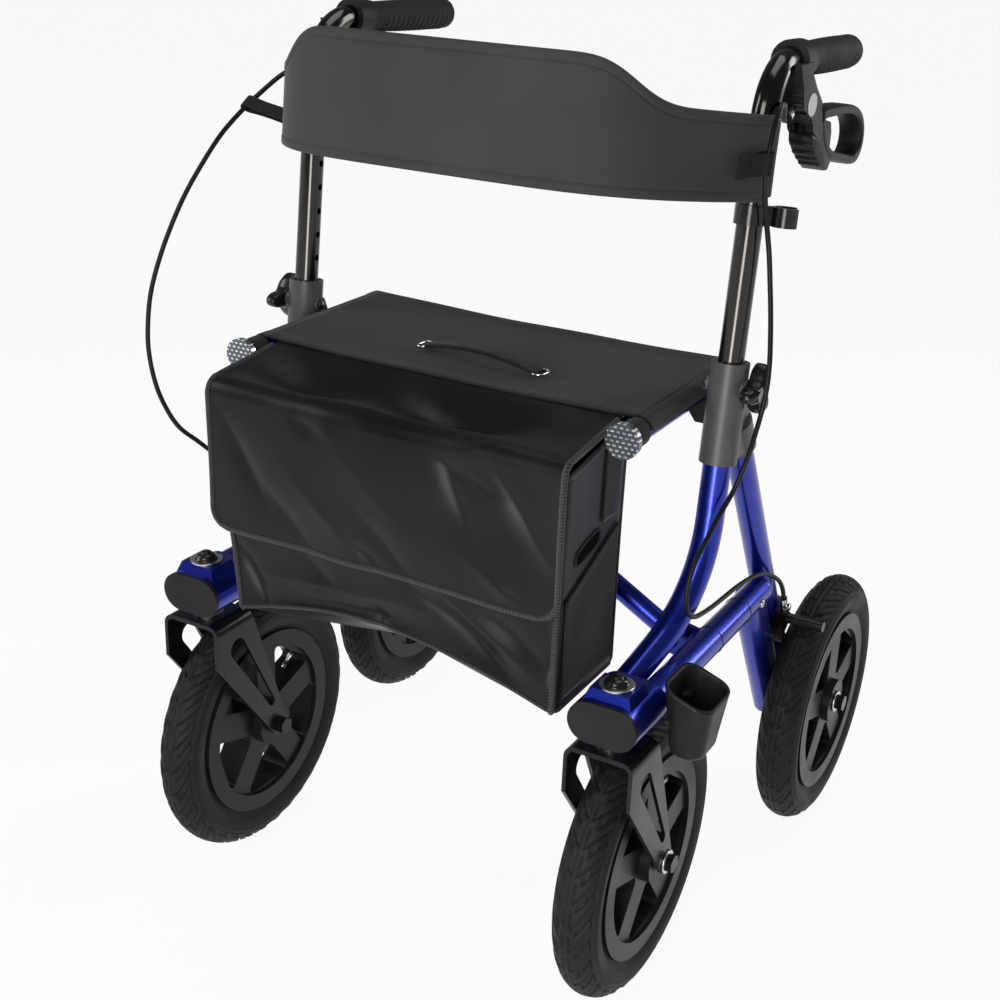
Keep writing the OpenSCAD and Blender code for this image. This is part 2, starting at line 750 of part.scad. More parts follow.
module brake_housing() color("#1f1f20") {
  mid_x = side_x + housing_off;
  difference() {
    union() {
      aim(ring_mid - grip_dir * clamp_ring_len / 2, grip_end) cylinder(d = clamp_ring_d, h = clamp_ring_len);
      yz(mid_x - housing_w / 2, housing_w) {
        polygon([for (p = housing_line) [ring_mid.y, ring_mid.z] + p]);
        translate(lever_pivot) circle(pivot_eye_r);
      }
    }
    aim(ring_mid - grip_dir * clamp_ring_len, grip_end) cylinder(d = post_d + 2 * fit, h = 2 * clamp_ring_len);
    at_bend(post_low, post_top, grip_end, post_bend_r) rotate_extrude() translate([post_bend_r, 0])
      circle(d = post_d + 2 * clear);
    yz(mid_x - tongue_w / 2 - clear, tongue_w + 2 * clear)
      stroke([lever_pivot, lever_pivot + lever_line[0]], 2 * slot_r);
  }
  cross_rod(mid_x - housing_w / 2, lever_pivot.x, lever_pivot.y, pivot_d, housing_w);
  aim([mid_x, adjuster_y, adjuster_z], [mid_x, adjuster_y + adjuster_tip.x, adjuster_z + adjuster_tip.y])
    translate([0, 0, -adjuster_len / 2]) cylinder(d = adjuster_d, h = adjuster_len + adjuster_len / 2);
}

module brake_lever() color("#1f1f20") {
  mid_x = side_x + housing_off;
  loop = [for (p = lever_line) lever_pivot + p];
  difference() {
    union() {
      yz(mid_x - lever_w / 2, lever_w) difference() {
        polygon(mitred(loop, -lever_t / 2));
        polygon(mitred(loop, lever_t / 2));
      }
      yz(mid_x - tongue_w / 2, tongue_w) polygon([lever_pivot + [0, tongue_d / 2 - weld], loop[0],
        loop[len(loop) - 1], lever_pivot - [0, tongue_d / 2 - weld]]);
      cross_rod(mid_x - tongue_w / 2 - weld, lever_pivot.x, lever_pivot.y, tongue_d, tongue_w + 2 * weld);
    }
    cross_rod(mid_x - lever_w, lever_pivot.x, lever_pivot.y, pivot_d + 2 * run_fit, 2 * lever_w);
  }
}

module clamp_knob() color("#1c1c1e") {
  cross_rod(side_x + post_d / 2 + clear, knob_y, knob_z, knob_screw_d, knob_x - side_x - post_d / 2);
  translate([knob_x, knob_y, knob_z]) rotate([0, 90, 0]) linear_extrude(knob_t) {
    circle(knob_core_r);
    for (i = [1:knob_lobes]) rotate(i * 360 / knob_lobes) stroke([[0, 0], [knob_reach, 0]], 2 * knob_lobe_r);
  }
}

module brake_bracket() color("#19191a") at_rear_leg() {
  difference() {
    union() {
      intersection() {
        translate([0, 0, shoe_z - saddle_len / 2]) cylinder(d = saddle_d, h = saddle_len);
        translate([-saddle_d, -saddle_lap, 0]) cube([2 * saddle_d, saddle_d, 2 * shoe_z]);
      }
      yz(plate_in, plate_t) {
        stroke([[0, shoe_z], [arm_pivot_y, shoe_z]], arm_eye_d);
        stroke([[tab_y, shoe_z], [tab_y, tab_z]], tab_w);
      }
      translate([plate_in, tab_y - tab_w / 2, tab_z]) cube([barrel_x + barrel_d / 2 - plate_in, tab_w, tab_t]);
      translate([barrel_x, tab_y, tab_z]) cylinder(d = barrel_d, h = barrel_len + tab_t);
    }
    cylinder(d = tube_d + 2 * fit, h = 2 * shoe_z);
  }
  cross_rod(plate_in, arm_pivot_y, shoe_z, arm_pin_d, plate_t + arm_t + 2 * clear + pin_cap_t);
  cross_rod(plate_in + plate_t + arm_t + 2 * clear, arm_pivot_y, shoe_z, pin_cap_d, pin_cap_t);
}

module brake_arm() color("#19191a") at_rear_leg() translate([plate_in + plate_t + clear, 0, 0]) difference() {
  union() {
    yz(0, arm_t) stroke([[arm_pivot_y, shoe_z], [0, shoe_z]], arm_eye_d - over);
    cross_rod(0, 0, shoe_z, shoe_d, shoe_run);
  }
  cross_rod(-over, arm_pivot_y, shoe_z, arm_pin_d + 2 * run_fit, arm_t + 2 * over);
}

// A tube of even rings along points, closed at both ends
module swept_cord(points, d, sides) {
  n = len(points);
  function way(i) = unit(points[min(i + 1, n - 1)] - points[max(i - 1, 0)]);
  function ring(i) = let (t = way(i), a = unit(cross(t, [1, 0, 0])), b = cross(t, a))
    [for (k = [0:sides - 1]) points[i] + d / 2 * (cos(k * 360 / sides) * a + sin(k * 360 / sides) * b)];
  skin = [for (i = [0:n - 2]) for (k = [0:sides - 1]) let (m = (k + 1) % sides, p = i * sides, q = p + sides)
    each [[p + k, q + k, p + m], [p + m, q + k, q + m]]];
  ends = [[for (k = [0:sides - 1]) k], [for (k = [sides - 1:-1:0]) (n - 1) * sides + k]];
  polyhedron([for (i = [0:n - 1]) each ring(i)], concat(skin, ends));
}

module brake_cable(points) color("#141414") swept_cord(points, cable_d, cable_sides);

module cross_brace(y) color("#1c2fb0") difference() {
  union() {
    long_rod(pivot_x, y - brace_d / 2, brace_pivot_z, brace_d, brace_d);
    aim([pivot_x, y, brace_pivot_z], [-rail_x, y, rail_z]) cylinder(d = brace_d, h = brace_len);
  }
  aim([pivot_x, y, brace_pivot_z], [-rail_x, y, rail_z]) translate([0, 0, brace_d])
    cylinder(d = brace_d - 2 * brace_wall, h = brace_len);
  long_rod(pivot_x, y - brace_d, brace_pivot_z, pin_d + 2 * run_fit, 2 * brace_d);
  long_rod(0, y - brace_d, pin_z, pin_d + 2 * run_fit, 2 * brace_d);
  long_rod(-rail_x, y - brace_d, rail_z, rail_d + 2 * fit, 2 * brace_d);
}

module centre_pin() color("#8c8c90") {
  half = brace_off + brace_d / 2 + clear;
  long_rod(0, brace_y - half - pin_head_t, pin_z, pin_d, 2 * (half + pin_head_t));
  for (y = [brace_y - half - pin_head_t, brace_y + half]) long_rod(0, y, pin_z, pin_head_d, pin_head_t);
}

module seat_rail() color("#1c2fb0") difference() {
  long_rod(rail_x, rail_front_y, rail_z, rail_d, rail_len);
  long_rod(rail_x, rail_front_y - over, rail_z, rail_d - 2 * tube_wall, rail_len - plug_t);
}

module reflector() color("#b9bcc4") {
  long_rod(rail_x, rail_front_y - reflector_t, rail_z, reflector_d, reflector_t);
  plug_d = rail_d - 2 * tube_wall - 2 * fit;
  long_rod(rail_x, rail_front_y - reflector_t, rail_z, plug_d, reflector_t + reflector_plug);
}

module seat_fabric() color("#2a2a2b") translate([-rail_x - seat_lap, seat_front_y, seat_z])
  cube([2 * (rail_x + seat_lap), seat_depth, seat_t]);

function back_point(s) = [back_end_x * s, back_end_y - back_bow * (1 - pow(abs(s), back_power))];

// Steps bunch up at the ends, where the curve turns most
function back_share(i) = let (s = 2 * i / back_steps - 1) sin(90 * s);

module back_plan() {
  line = [for (i = [0:back_steps]) back_point(back_share(i))];
  normals = [for (i = [0:back_steps]) let (v = unit(line[min(i + 1, back_steps)] - line[max(i - 1, 0)]))
    [v.y, -v.x]];
  polygon(concat([for (i = [0:back_steps]) line[i] + normals[i] * back_t / 2],
    [for (i = [back_steps:-1:0]) line[i] - normals[i] * back_t / 2]));
}

module backrest() color("#303032") at_post(back_low_z) translate([-side_x, 0, 0]) {
  top = [for (p = back_fall) [p.x, back_mid_h - p.y * (back_mid_h - back_end_h)]];
  far = 2 * back_end_x;
  difference() {
    intersection() {
      linear_extrude(back_mid_h) back_plan();
      xz(-2 * back_bow, 3 * back_bow) polygon(concat([[-far, 0], [far, 0], [far, back_end_h]],
        [for (i = [len(top) - 1:-1:0]) top[i]], [for (p = top) [-p.x, p.y]], [[-far, back_end_h]]));
    }
    for (s = [-1, 1]) translate([s * side_x, 0, -over])
      cylinder(d = post_d + 2 * clear + back_sleeve_t, h = 2 * back_mid_h);
  }
  for (s = [-1, 1]) translate([s * side_x, 0, back_tail / 2])
    pipe(back_end_h - back_tail, post_d + 2 * clear + 2 * back_sleeve_t, post_d + 2 * clear);
}

module bag_body() color("#1b1b1c") translate([0, (bag_front_y + bag_rear_y) / 2, bag_low]) difference() {
  linear_extrude(bag_h) soft_rect(2 * bag_x, bag_depth, bag_round);
  translate([0, 0, bag_wall]) linear_extrude(bag_h)
    soft_rect(2 * (bag_x - bag_wall), bag_depth - 2 * bag_wall, bag_round - bag_wall);
}

module bag_flap() color("#1b1b1c") intersection() {
  front = bag_front_y - clear;
  yz(-flap_x, 2 * flap_x) polygon([[flap_hinge_y, flap_z], [flap_hinge_y, flap_z + flap_t],
    [front - flap_t, flap_z + flap_t], [front - flap_t, bag_top - flap_drop], [front, bag_top - flap_drop],
    [front, flap_z]]);
  xz(front - bag_depth, 2 * bag_depth) translate([0, bag_top - flap_drop + flap_x])
    soft_rect(2 * flap_x, 2 * flap_x, flap_round);
}

module cup_hull(inset, rise) hull() {
  foot_w = cup_w * cup_foot_share;
  translate([cup_x + cup_w / 2, cup_y + cup_len / 2, cup_low + cup_h + rise - over]) linear_extrude(over)
    soft_rect(cup_w - 2 * inset, cup_len - 2 * inset, cup_round - inset, $fn = 32);
  translate([cup_x + cup_w / 2, cup_y + cup_len / 2, cup_low + rise]) linear_extrude(over)
    soft_rect(foot_w - 2 * inset, cup_len - cup_w + foot_w - 2 * inset, cup_round - inset, $fn = 32);
}

module cane_cup() color("#1e1e1f") difference() {
  union() {
    cup_hull(0, 0);
    translate([bar_x, cup_y + cup_len - cup_arm_back, head_z - cup_arm_h / 2])
      cube([cup_x + cup_w / 2 - bar_x, cup_arm_len, cup_arm_h]);
  }
  cup_hull(cup_wall, cup_wall);
  long_rod(bar_x, head_rear_y, head_z, bar_d + 2 * fit, rail_len);
}

module cane_clip() color("#1c1c1e") at_post(clip_z) linear_extrude(clip_h) difference() {
  ring_r = post_d / 2 + fit + clip_t;
  reach = ring_r + clip_arm + cane_d / 2;
  mouth = cane_d * clip_mouth_share;
  union() {
    circle(ring_r);
    rotate(clip_turn) translate([reach, 0]) circle(cane_d / 2 + clip_t);
    rotate(clip_turn) translate([0, -clip_t]) square([reach, 2 * clip_t]);
    translate([-clip_t, 0]) square([2 * clip_t, ring_r + clip_tab]);
  }
  circle(post_d / 2 + fit);
  rotate(clip_turn) translate([reach, 0]) circle(d = cane_d);
  rotate(clip_turn) translate([reach, -mouth / 2]) square([cane_d, mouth]);
}

front_leg();  // front_leg_left
on_right() front_leg();  // front_leg_right
rear_leg();  // rear_leg_left
on_right() rear_leg();  // rear_leg_right
lower_bar(brace_y - brace_off);  // lower_bar_left
on_right() lower_bar(brace_y + brace_off);  // lower_bar_right
caster_head();  // caster_head_left
on_right() caster_head();  // caster_head_right
caster_cap();  // caster_cap_left
on_right() caster_cap();  // caster_cap_right
caster_bolt();  // caster_bolt_left
on_right() caster_bolt();  // caster_bolt_right
caster_fork();  // caster_fork_left
on_right() caster_fork();  // caster_fork_right
front_axle();  // front_axle_left
on_right() front_axle();  // front_axle_right
rim(head_x, front_y, front_hub_w);  // front_rim_left
on_right() rim(head_x, front_y, front_hub_w);  // front_rim_right
tyre(head_x, front_y);  // front_tyre_left
on_right() tyre(head_x, front_y);  // front_tyre_right
rear_axle();  // rear_axle_left
on_right() rear_axle();  // rear_axle_right
rim(rear_x, rear_y, hub_w);  // rear_rim_left
on_right() rim(rear_x, rear_y, hub_w);  // rear_rim_right
tyre(rear_x, rear_y);  // rear_tyre_left
on_right() tyre(rear_x, rear_y);  // rear_tyre_right
post_sleeve();  // post_sleeve_left
on_right() post_sleeve();  // post_sleeve_right
rail_cradle();  // rail_cradle_left
on_right() rail_cradle();  // rail_cradle_right
handle_post();  // handle_post_left
on_right() handle_post();  // handle_post_right
hand_grip();  // hand_grip_left
on_right() hand_grip();  // hand_grip_right
brake_housing();  // brake_housing_left
on_right() brake_housing();  // brake_housing_right
brake_lever();  // brake_lever_left
on_right() brake_lever();  // brake_lever_right
clamp_knob();  // clamp_knob_left
on_right() clamp_knob();  // clamp_knob_right
brake_bracket();  // brake_bracket_left
on_right() brake_bracket();  // brake_bracket_right
brake_arm();  // brake_arm_left
on_right() brake_arm();  // brake_arm_right
brake_cable(cable_left);  // brake_cable_left
on_right() brake_cable(cable_right);  // brake_cable_right
cross_brace(brace_y - brace_off);  // cross_brace_left
on_right() cross_brace(brace_y + brace_off);  // cross_brace_right
seat_rail();  // seat_rail_left
on_right() seat_rail();  // seat_rail_right
reflector();  // reflector_left
on_right() reflector();  // reflector_right
centre_pin();
seat_fabric();
backrest();
bag_body();
bag_flap();
cane_cup();
cane_clip();
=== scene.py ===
# All terrain rollator: finishes, tyres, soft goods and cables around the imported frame.
# Lengths in the piece dictionaries are millimetres; mm turns them into metres.
import math

import bmesh
import bpy
import numpy as np
from mathutils import Matrix, Vector


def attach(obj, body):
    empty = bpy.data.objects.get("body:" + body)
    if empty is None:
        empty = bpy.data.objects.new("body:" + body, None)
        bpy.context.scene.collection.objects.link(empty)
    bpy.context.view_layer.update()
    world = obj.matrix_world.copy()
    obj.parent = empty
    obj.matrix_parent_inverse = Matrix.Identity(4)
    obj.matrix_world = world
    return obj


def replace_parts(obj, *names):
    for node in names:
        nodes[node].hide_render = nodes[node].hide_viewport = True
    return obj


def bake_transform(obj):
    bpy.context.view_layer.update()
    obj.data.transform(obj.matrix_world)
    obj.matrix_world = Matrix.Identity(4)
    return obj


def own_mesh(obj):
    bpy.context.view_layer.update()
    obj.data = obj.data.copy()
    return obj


mm = 0.001
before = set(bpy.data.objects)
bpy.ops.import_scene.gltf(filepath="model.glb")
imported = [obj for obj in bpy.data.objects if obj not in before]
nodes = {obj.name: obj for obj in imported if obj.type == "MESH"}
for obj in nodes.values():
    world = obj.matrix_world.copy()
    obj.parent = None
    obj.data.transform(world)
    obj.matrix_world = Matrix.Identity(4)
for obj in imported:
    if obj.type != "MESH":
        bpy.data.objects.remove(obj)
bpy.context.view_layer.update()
sides = {"left": 1, "right": -1}
alongX, alongY, alongZ = (1, 0, 0), (0, 1, 0), (0, 0, 1)
print("frame loaded:", len(nodes), "nodes")

# Camera at the photograph's station
photoView = {
    "place": (734.2, -1406.9, 1067.8), "azimuth": 28.9, "elevation": 22.7, "roll": 2.3, "lens": 55.14,
    "sensor": 36, "reach": 60,
}


def linked(name, data):
    made = bpy.data.objects.new(name, data)
    bpy.context.scene.collection.objects.link(made)
    return made


def addCamera(view):
    # It looks back along the direction of its azimuth and elevation, and is rolled about that line
    a, e, r = (math.radians(view[k]) for k in ("azimuth", "elevation", "roll"))
    back = Vector((math.sin(a) * math.cos(e), -math.cos(a) * math.cos(e), math.sin(e)))
    right = Vector((math.cos(a), math.sin(a), 0))
    up = back.cross(right)
    acrossView = math.cos(r) * right + math.sin(r) * up
    upView = math.cos(r) * up - math.sin(r) * right
    data = bpy.data.cameras.new("photoCamera")
    data.lens, data.sensor_width, data.clip_end = view["lens"], view["sensor"], view["reach"]
    camera = linked("photoCamera", data)
    turn = Matrix((acrossView, upView, back)).transposed().to_4x4()
    camera.matrix_world = Matrix.Translation(Vector(view["place"]) * mm) @ turn
    bpy.context.scene.camera = camera


addCamera(photoView)

# Finishes: every one is a principled shader with noise or weave in colour, roughness and bump


def join(mat, source, target):
    mat.node_tree.links.new(source, target)


def filled(mat, made, values):
    # A value goes to the input of its name, joined to it if it is another node's output, or else to a setting
    for key, value in values.items():
        if key not in made.inputs:
            setattr(made, key, value)
        elif isinstance(value, bpy.types.NodeSocket):
            join(mat, value, made.inputs[key])
        else:
            made.inputs[key].default_value = value
    return made


def node(mat, kind, **values):
    return filled(mat, mat.node_tree.nodes.new(kind), values)


def shaded(mat, values):
    return filled(mat, mat.node_tree.nodes["Principled BSDF"], values)


def finish(name, color, roughness, metallic=0.0, **sockets):
    mat = bpy.data.materials.new(name)
    mat.use_nodes = True
    shaded(mat, {"Base Color": (*color, 1), "Roughness": roughness, "Metallic": metallic})
    shaded(mat, {key.replace("_", " "): value for key, value in sockets.items()})
    return mat


def coords(mat, kind="Object", scale=(1, 1, 1), turn=(0, 0, 0)):
    # Places on the piece, scaled and turned
    place = node(mat, "ShaderNodeTexCoord").outputs[kind]
    return node(mat, "ShaderNodeMapping", Vector=place, Scale=scale, Rotation=turn).outputs["Vector"]


def noise(mat, vector, scale, detail):
    # Smooth random values from 0 to 1
    return node(mat, "ShaderNodeTexNoise", Vector=vector, Scale=scale, Detail=detail).outputs["Fac"]


def bands(mat, vector, scale, direction):
    # Even ridges across one direction, as a sine
    made = node(mat, "ShaderNodeTexWave", Vector=vector, Scale=scale, bands_direction=direction)
    return made.outputs["Fac"]


def ranged(mat, value, low, high, fromLow=0.3, fromHigh=0.7):
    # A value carried from one range straight to another
    ends = {"From Min": fromLow, "From Max": fromHigh, "To Min": low, "To Max": high}
    return node(mat, "ShaderNodeMapRange", Value=value, **ends).outputs["Result"]


def math2(mat, operation, a, b):
    # Arithmetic on two values, each a number or another node's output
    made = node(mat, "ShaderNodeMath", operation=operation)
    for k, value in enumerate((a, b)):
        if isinstance(value, (int, float)):
            made.inputs[k].default_value = value
        else:
            join(mat, value, made.inputs[k])
    return made.outputs["Value"]


def tinted(mat, value, low, high, start=0.3, end=0.7):
    # The base colour goes from low to high while the value goes from start to end
    ramp = node(mat, "ShaderNodeValToRGB", Fac=value)
    for stop, position, color in zip(ramp.color_ramp.elements, (start, end), (low, high)):
        stop.position = position
        stop.color = (*color, 1)
    shaded(mat, {"Base Color": ramp.outputs["Color"]})


def bumped(mat, height, strength, depth):
    # A height that tilts the surface in the light
    made = node(mat, "ShaderNodeBump", Height=height, Strength=strength, Distance=depth)
    shaded(mat, {"Normal": made.outputs["Normal"]})


def roughened(mat, value, low, high):
    # Roughness that follows the value from low to high
    shaded(mat, {"Roughness": ranged(mat, value, low, high)})


def bluePaint(name):
    # Fine flakes between two blues under a thin clear coat
    mat = finish(name, (0.012, 0.02, 0.28), 0.3, 0.85, Coat_Weight=0.35, Coat_Roughness=0.04)
    flakes = noise(mat, coords(mat), 2600, 1)
    tinted(mat, flakes, (0.005, 0.011, 0.2), (0.019, 0.042, 0.48), 0.38, 0.68)
    roughened(mat, noise(mat, coords(mat), 14, 2), 0.26, 0.36)
    bumped(mat, flakes, 0.05, 0.0002)
    return mat


def moulded(name, dark, pale, smooth, dull, scale=900, strength=0.25, **sockets):
    # Fine grain in the surface, and a slow change of colour and gloss over it
    mat = finish(name, dark, smooth, **{"Specular_IOR_Level": 0.16, **sockets})
    grain = noise(mat, coords(mat), scale, 2)
    wide = noise(mat, coords(mat), 22, 4)
    tinted(mat, wide, dark, pale)
    roughened(mat, wide, smooth, dull)
    bumped(mat, grain, strength, 0.0003)
    return mat


def brushedMetal(name, color, smooth, dull, stretch, strength=0.12):
    # Noise drawn out along the brushing
    mat = finish(name, color, smooth, 1.0)
    lines = noise(mat, coords(mat, scale=stretch), 60, 2)
    roughened(mat, lines, smooth, dull)
    bumped(mat, lines, strength, 0.0002)
    return mat


weaveShare = 0.14


def wovenCloth(name, dark, pale, threads, dull, strength,
               turn=(0, 0, 0.5), sheen=0.1, smooth=None, shine=0.12):
    # Two sets of ridges across each other, the higher one on top, with slow cloudy wear over them
    mat = finish(name, dark, dull, Sheen_Weight=sheen, Sheen_Roughness=0.4, Specular_IOR_Level=shine)
    vector = coords(mat, turn=turn)
    weave = math2(mat, "MAXIMUM", bands(mat, vector, threads, "X"), bands(mat, vector, threads, "Z"))
    cloudy = noise(mat, coords(mat), 9, 4)
    worn = math2(mat, "MULTIPLY", cloudy, 1 - weaveShare)
    tinted(mat, math2(mat, "ADD", math2(mat, "MULTIPLY", weave, weaveShare), worn), dark, pale)
    roughened(mat, cloudy, smooth or dull - 0.1, dull + 0.05)
    bumped(mat, weave, strength, 0.0004)
    return mat


def twistedCord(name, dark, pale, twist):
    # Slanting ridges that follow the piece's own map, as on a twisted edge cord
    mat = finish(name, dark, 0.6, Sheen_Weight=0.1, Specular_IOR_Level=0.3)
    ridges = bands(mat, coords(mat, "UV", turn=(0, 0, 0.6)), twist, "X")
    tinted(mat, ridges, dark, pale, 0.2, 0.8)
    bumped(mat, ridges, 0.7, 0.0006)
    return mat


def prismDots(name):
    # Rows of small bright squares, every second row shifted by half a step
    mat = finish(name, (0.03, 0.032, 0.036), 0.2, 0.0, Coat_Weight=1.0, Coat_Roughness=0.03)
    sizes = {"Scale": 1.0, "Brick Width": 0.0058, "Row Height": 0.0044, "Mortar Size": 0.0015,
             "Mortar Smooth": 0.15}
    colors = {"Color1": (0.9, 0.92, 0.95, 1), "Color2": (0.55, 0.66, 0.85, 1),
              "Mortar": (0.05, 0.052, 0.058, 1)}
    brick = node(mat, "ShaderNodeTexBrick", Vector=coords(mat, turn=(math.pi / 2, 0, 0)), **sizes, **colors)
    metal = ranged(mat, brick.outputs["Fac"], 0.75, 0.0, 0, 1)
    shaded(mat, {"Base Color": brick.outputs["Color"], "Metallic": metal})
    bumped(mat, brick.outputs["Fac"], 0.4, 0.0005)
    return mat


finishes, slotNames = {}, {}


def addFinish(slot, make, name, *values, **more):
    finishes[name] = make(name, *values, **more)
    slotNames[name] = slot


addFinish("frame_paint", bluePaint, "bluePaint")
addFinish("black_moulding", moulded, "blackMoulding", (0.008,) * 3, (0.015, 0.0145, 0.014), 0.38, 0.52)
addFinish("black_moulding", moulded, "sleeveMoulding", (0.05, 0.048, 0.046), (0.072, 0.07, 0.067), 0.36, 0.46,
          Specular_IOR_Level=0.4)
addFinish("black_moulding", moulded, "rimMoulding", (0.006,) * 3, (0.011, 0.0106, 0.0102), 0.3, 0.42)
addFinish("black_gloss", moulded, "blackGloss", (0.005,) * 3, (0.009,) * 3, 0.16, 0.26, 600, 0.1,
          Specular_IOR_Level=0.4)
addFinish("black_gloss", moulded, "blankLabel", (0.62, 0.62, 0.61), (0.7, 0.7, 0.69), 0.3, 0.42, 400, 0.05)
addFinish("black_steel", moulded, "blackSteel", (0.004,) * 3, (0.008,) * 3, 0.22, 0.34, 500, 0.15,
          Specular_IOR_Level=0.24)
addFinish("post_metal", brushedMetal, "postMetal", (0.05, 0.048, 0.046), 0.1, 0.18, (1, 1, 0.04))
addFinish("steel", brushedMetal, "zincSteel", (0.55, 0.54, 0.52), 0.22, 0.36, (1, 1, 1))
addFinish("steel", brushedMetal, "chrome", (0.75, 0.75, 0.76), 0.08, 0.16, (1, 1, 1), 0.05)
addFinish("grip_rubber", moulded, "gripRubber", (0.011, 0.0105, 0.01), (0.019, 0.018, 0.017), 0.55, 0.7,
          1400, 0.4)
addFinish("tyre_rubber", moulded, "tyreRubber", (0.007,) * 3, (0.013, 0.0125, 0.012), 0.5, 0.65, 700, 0.35)
addFinish("cable_sheath", moulded, "cableSheath", (0.006,) * 3, (0.011,) * 3, 0.3, 0.45, 500, 0.1)
addFinish("seat_cloth", wovenCloth, "seatCloth", (0.013, 0.0127, 0.0125), (0.024, 0.0234, 0.0229),
          480, 0.62, 0.1)
addFinish("back_cloth", wovenCloth, "backCloth", (0.03, 0.0292, 0.0287), (0.043, 0.042, 0.0412),
          420, 0.7, 0.08)
addFinish("back_cloth", wovenCloth, "thread", (0.014,) * 3, (0.03,) * 3, 400, 0.7, 0.3)
addFinish("bag_cloth", wovenCloth, "bagCloth", (0.0032, 0.0031, 0.0032), (0.0075, 0.0073, 0.0074),
          520, 0.38, 0.06, sheen=0.03, smooth=0.28, shine=0.2)
addFinish("bag_cloth", wovenCloth, "meshCloth", (0.003,) * 3, (0.016,) * 3, 110, 0.75, 0.9, turn=(0.75, 0, 0))
addFinish("bag_cloth", wovenCloth, "webbing", (0.005,) * 3, (0.014,) * 3, 190, 0.7, 0.6, turn=(0, 0, 0.8))
addFinish("bag_cloth", twistedCord, "edgeCord", (0.004,) * 3, (0.03, 0.029, 0.028), 120)
# A near-black finish for the hand slot's opening: painted shade for the dark inside of the bag
addFinish("bag_cloth", moulded, "darkInside", (0.0008,) * 3, (0.0015,) * 3, 0.9, 0.95, 400, 0.05,
          Specular_IOR_Level=0.05)
addFinish("reflector", prismDots, "prismDots")

# Nodes of the frame that show as they are; those not named here are plain black mouldings
nodeKinds = {
    "bluePaint": ["front_leg", "rear_leg", "lower_bar", "caster_head", "cross_brace", "seat_rail"],
    "blackSteel": ["caster_fork", "front_axle", "rear_axle", "brake_bracket", "brake_arm"],
    "rimMoulding": ["front_rim", "rear_rim"],
    "sleeveMoulding": ["post_sleeve"],
    "postMetal": ["handle_post"],
    "prismDots": ["reflector"],
    "zincSteel": ["centre_pin", "caster_bolt"],
    "blackGloss": ["cane_clip"],
}
finishOf = {kind: matName for matName, kinds in nodeKinds.items() for kind in kinds}
for nodeName, part in nodes.items():
    kind = nodeName.replace("_left", "").replace("_right", "")
    part.data.materials.clear()
    part.data.materials.append(finishes[finishOf.get(kind, "blackMoulding")])
print("finishes:", len(finishes))

# Mesh building: rings of points, carried from one end of a piece to the other


def unit(v):
    # Each vector divided by its length
    return v / np.maximum(np.linalg.norm(v, axis=-1, keepdims=True), 1e-9)


def ringAngles(count):
    # Even angles round a circle, from zero
    return np.linspace(0, 2 * np.pi, count, endpoint=False)


def gridOf(*axes):
    # Rows and columns of values brought to one shape, and joined as points
    return np.stack(np.broadcast_arrays(*axes), -1)


def clamped(x):
    # Kept between 0 and 1
    return np.clip(x, 0, 1)


def rippled(x, z, waves):
    # Slanting waves: a sine of both places, each divided by its wave's size
    return np.sin(x / waves[0] + z / waves[1])


def rounded(edge, reach, least):
    # Share of the full thickness at a distance from an edge: a quarter circle over the reach
    return np.sqrt(np.clip(1 - clamped(1 - edge / reach) ** 2, least, 1))


def ringFaces(count, size, closed=False):
    # Four-sided faces between each ring and the next, wrapped round each ring
    i = np.arange(count if closed else count - 1)[:, None]
    j = np.arange(size)[None, :]
    k = (j + 1) % size
    n = (i + 1) % count
    return np.stack([i * size + j, n * size + j, n * size + k, i * size + k], -1).reshape(-1, 4)


def meshObject(name, points, faces):
    # A mesh of points in millimetres
    mesh = bpy.data.meshes.new(name)
    mesh.from_pydata((points * mm).tolist(), [], faces)
    return linked(name, mesh)


def settled(made, matName, body, fold):
    # Its finish, the body that carries it, and its own copy of the mesh when it has a fold
    made.data.materials.append(finishes[matName])
    if body:
        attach(made, body)
    if fold:
        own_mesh(made)
    return made


def addPiece(name, parts, matName, body, smooth=True, uvs=None, fold=None):
    # parts is a list of (points, four-sided faces, fans); a fan closes a ring with its own middle point
    points, quads, tris, at = [], [], [], 0
    for p, f, fans in parts:
        p = np.asarray(p, float).reshape(-1, 3)
        quads.append(np.asarray(f) + at)
        extra = []
        for ring in fans:
            extra.append(p[ring].mean(0))
            hub = np.full(len(ring), at + len(p) + len(extra) - 1)
            tris.append(np.stack([ring + at, np.roll(ring, -1) + at, hub], -1))
        p = np.vstack([p, extra]) if extra else p
        points.append(p)
        at += len(p)
    made = meshObject(name, np.vstack(points), [f for block in quads + tris for f in block.tolist()])
    mesh = made.data
    work = bmesh.new()
    work.from_mesh(mesh)
    bmesh.ops.recalc_face_normals(work, faces=work.faces)
    work.to_mesh(mesh)
    work.free()
    mesh.polygons.foreach_set("use_smooth", np.full(len(mesh.polygons), smooth))
    if uvs is not None:
        uvs = np.vstack([uvs, np.zeros((at - len(uvs), 2))])
        corner = np.zeros(len(mesh.loops), np.int32)
        mesh.loops.foreach_get("vertex_index", corner)
        mesh.uv_layers.new(name="map").data.foreach_set("uv", uvs[corner].astype(np.float32).ravel())
    return settled(made, matName, body, fold)


def mirrored(parts, s):
    # As they are for s = 1, and across the middle plane for s = -1
    return [(np.asarray(p) * (s, 1, 1), f, fans) for p, f, fans in parts]


def addPair(name, parts, matName, body, replaced=None, smooth=True):
    # The piece as made on +X, and mirrored on -X, each on the body of its own side
    for side, s in sides.items():
        piece = addPiece(f"{name}.{side}", mirrored(parts, s), matName, f"{side}_{body}", smooth)
        if replaced:
            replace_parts(piece, f"{replaced}_{side}")


def lofted(rings, closed=False):
    # rings[i, j] is point j of ring i; the first and last ring are closed by fans
    count, size = rings.shape[:2]
    fans = [] if closed else [np.arange(size), (count - 1) * size + np.arange(size)]
    return rings.reshape(-1, 3), ringFaces(count, size, closed), fans


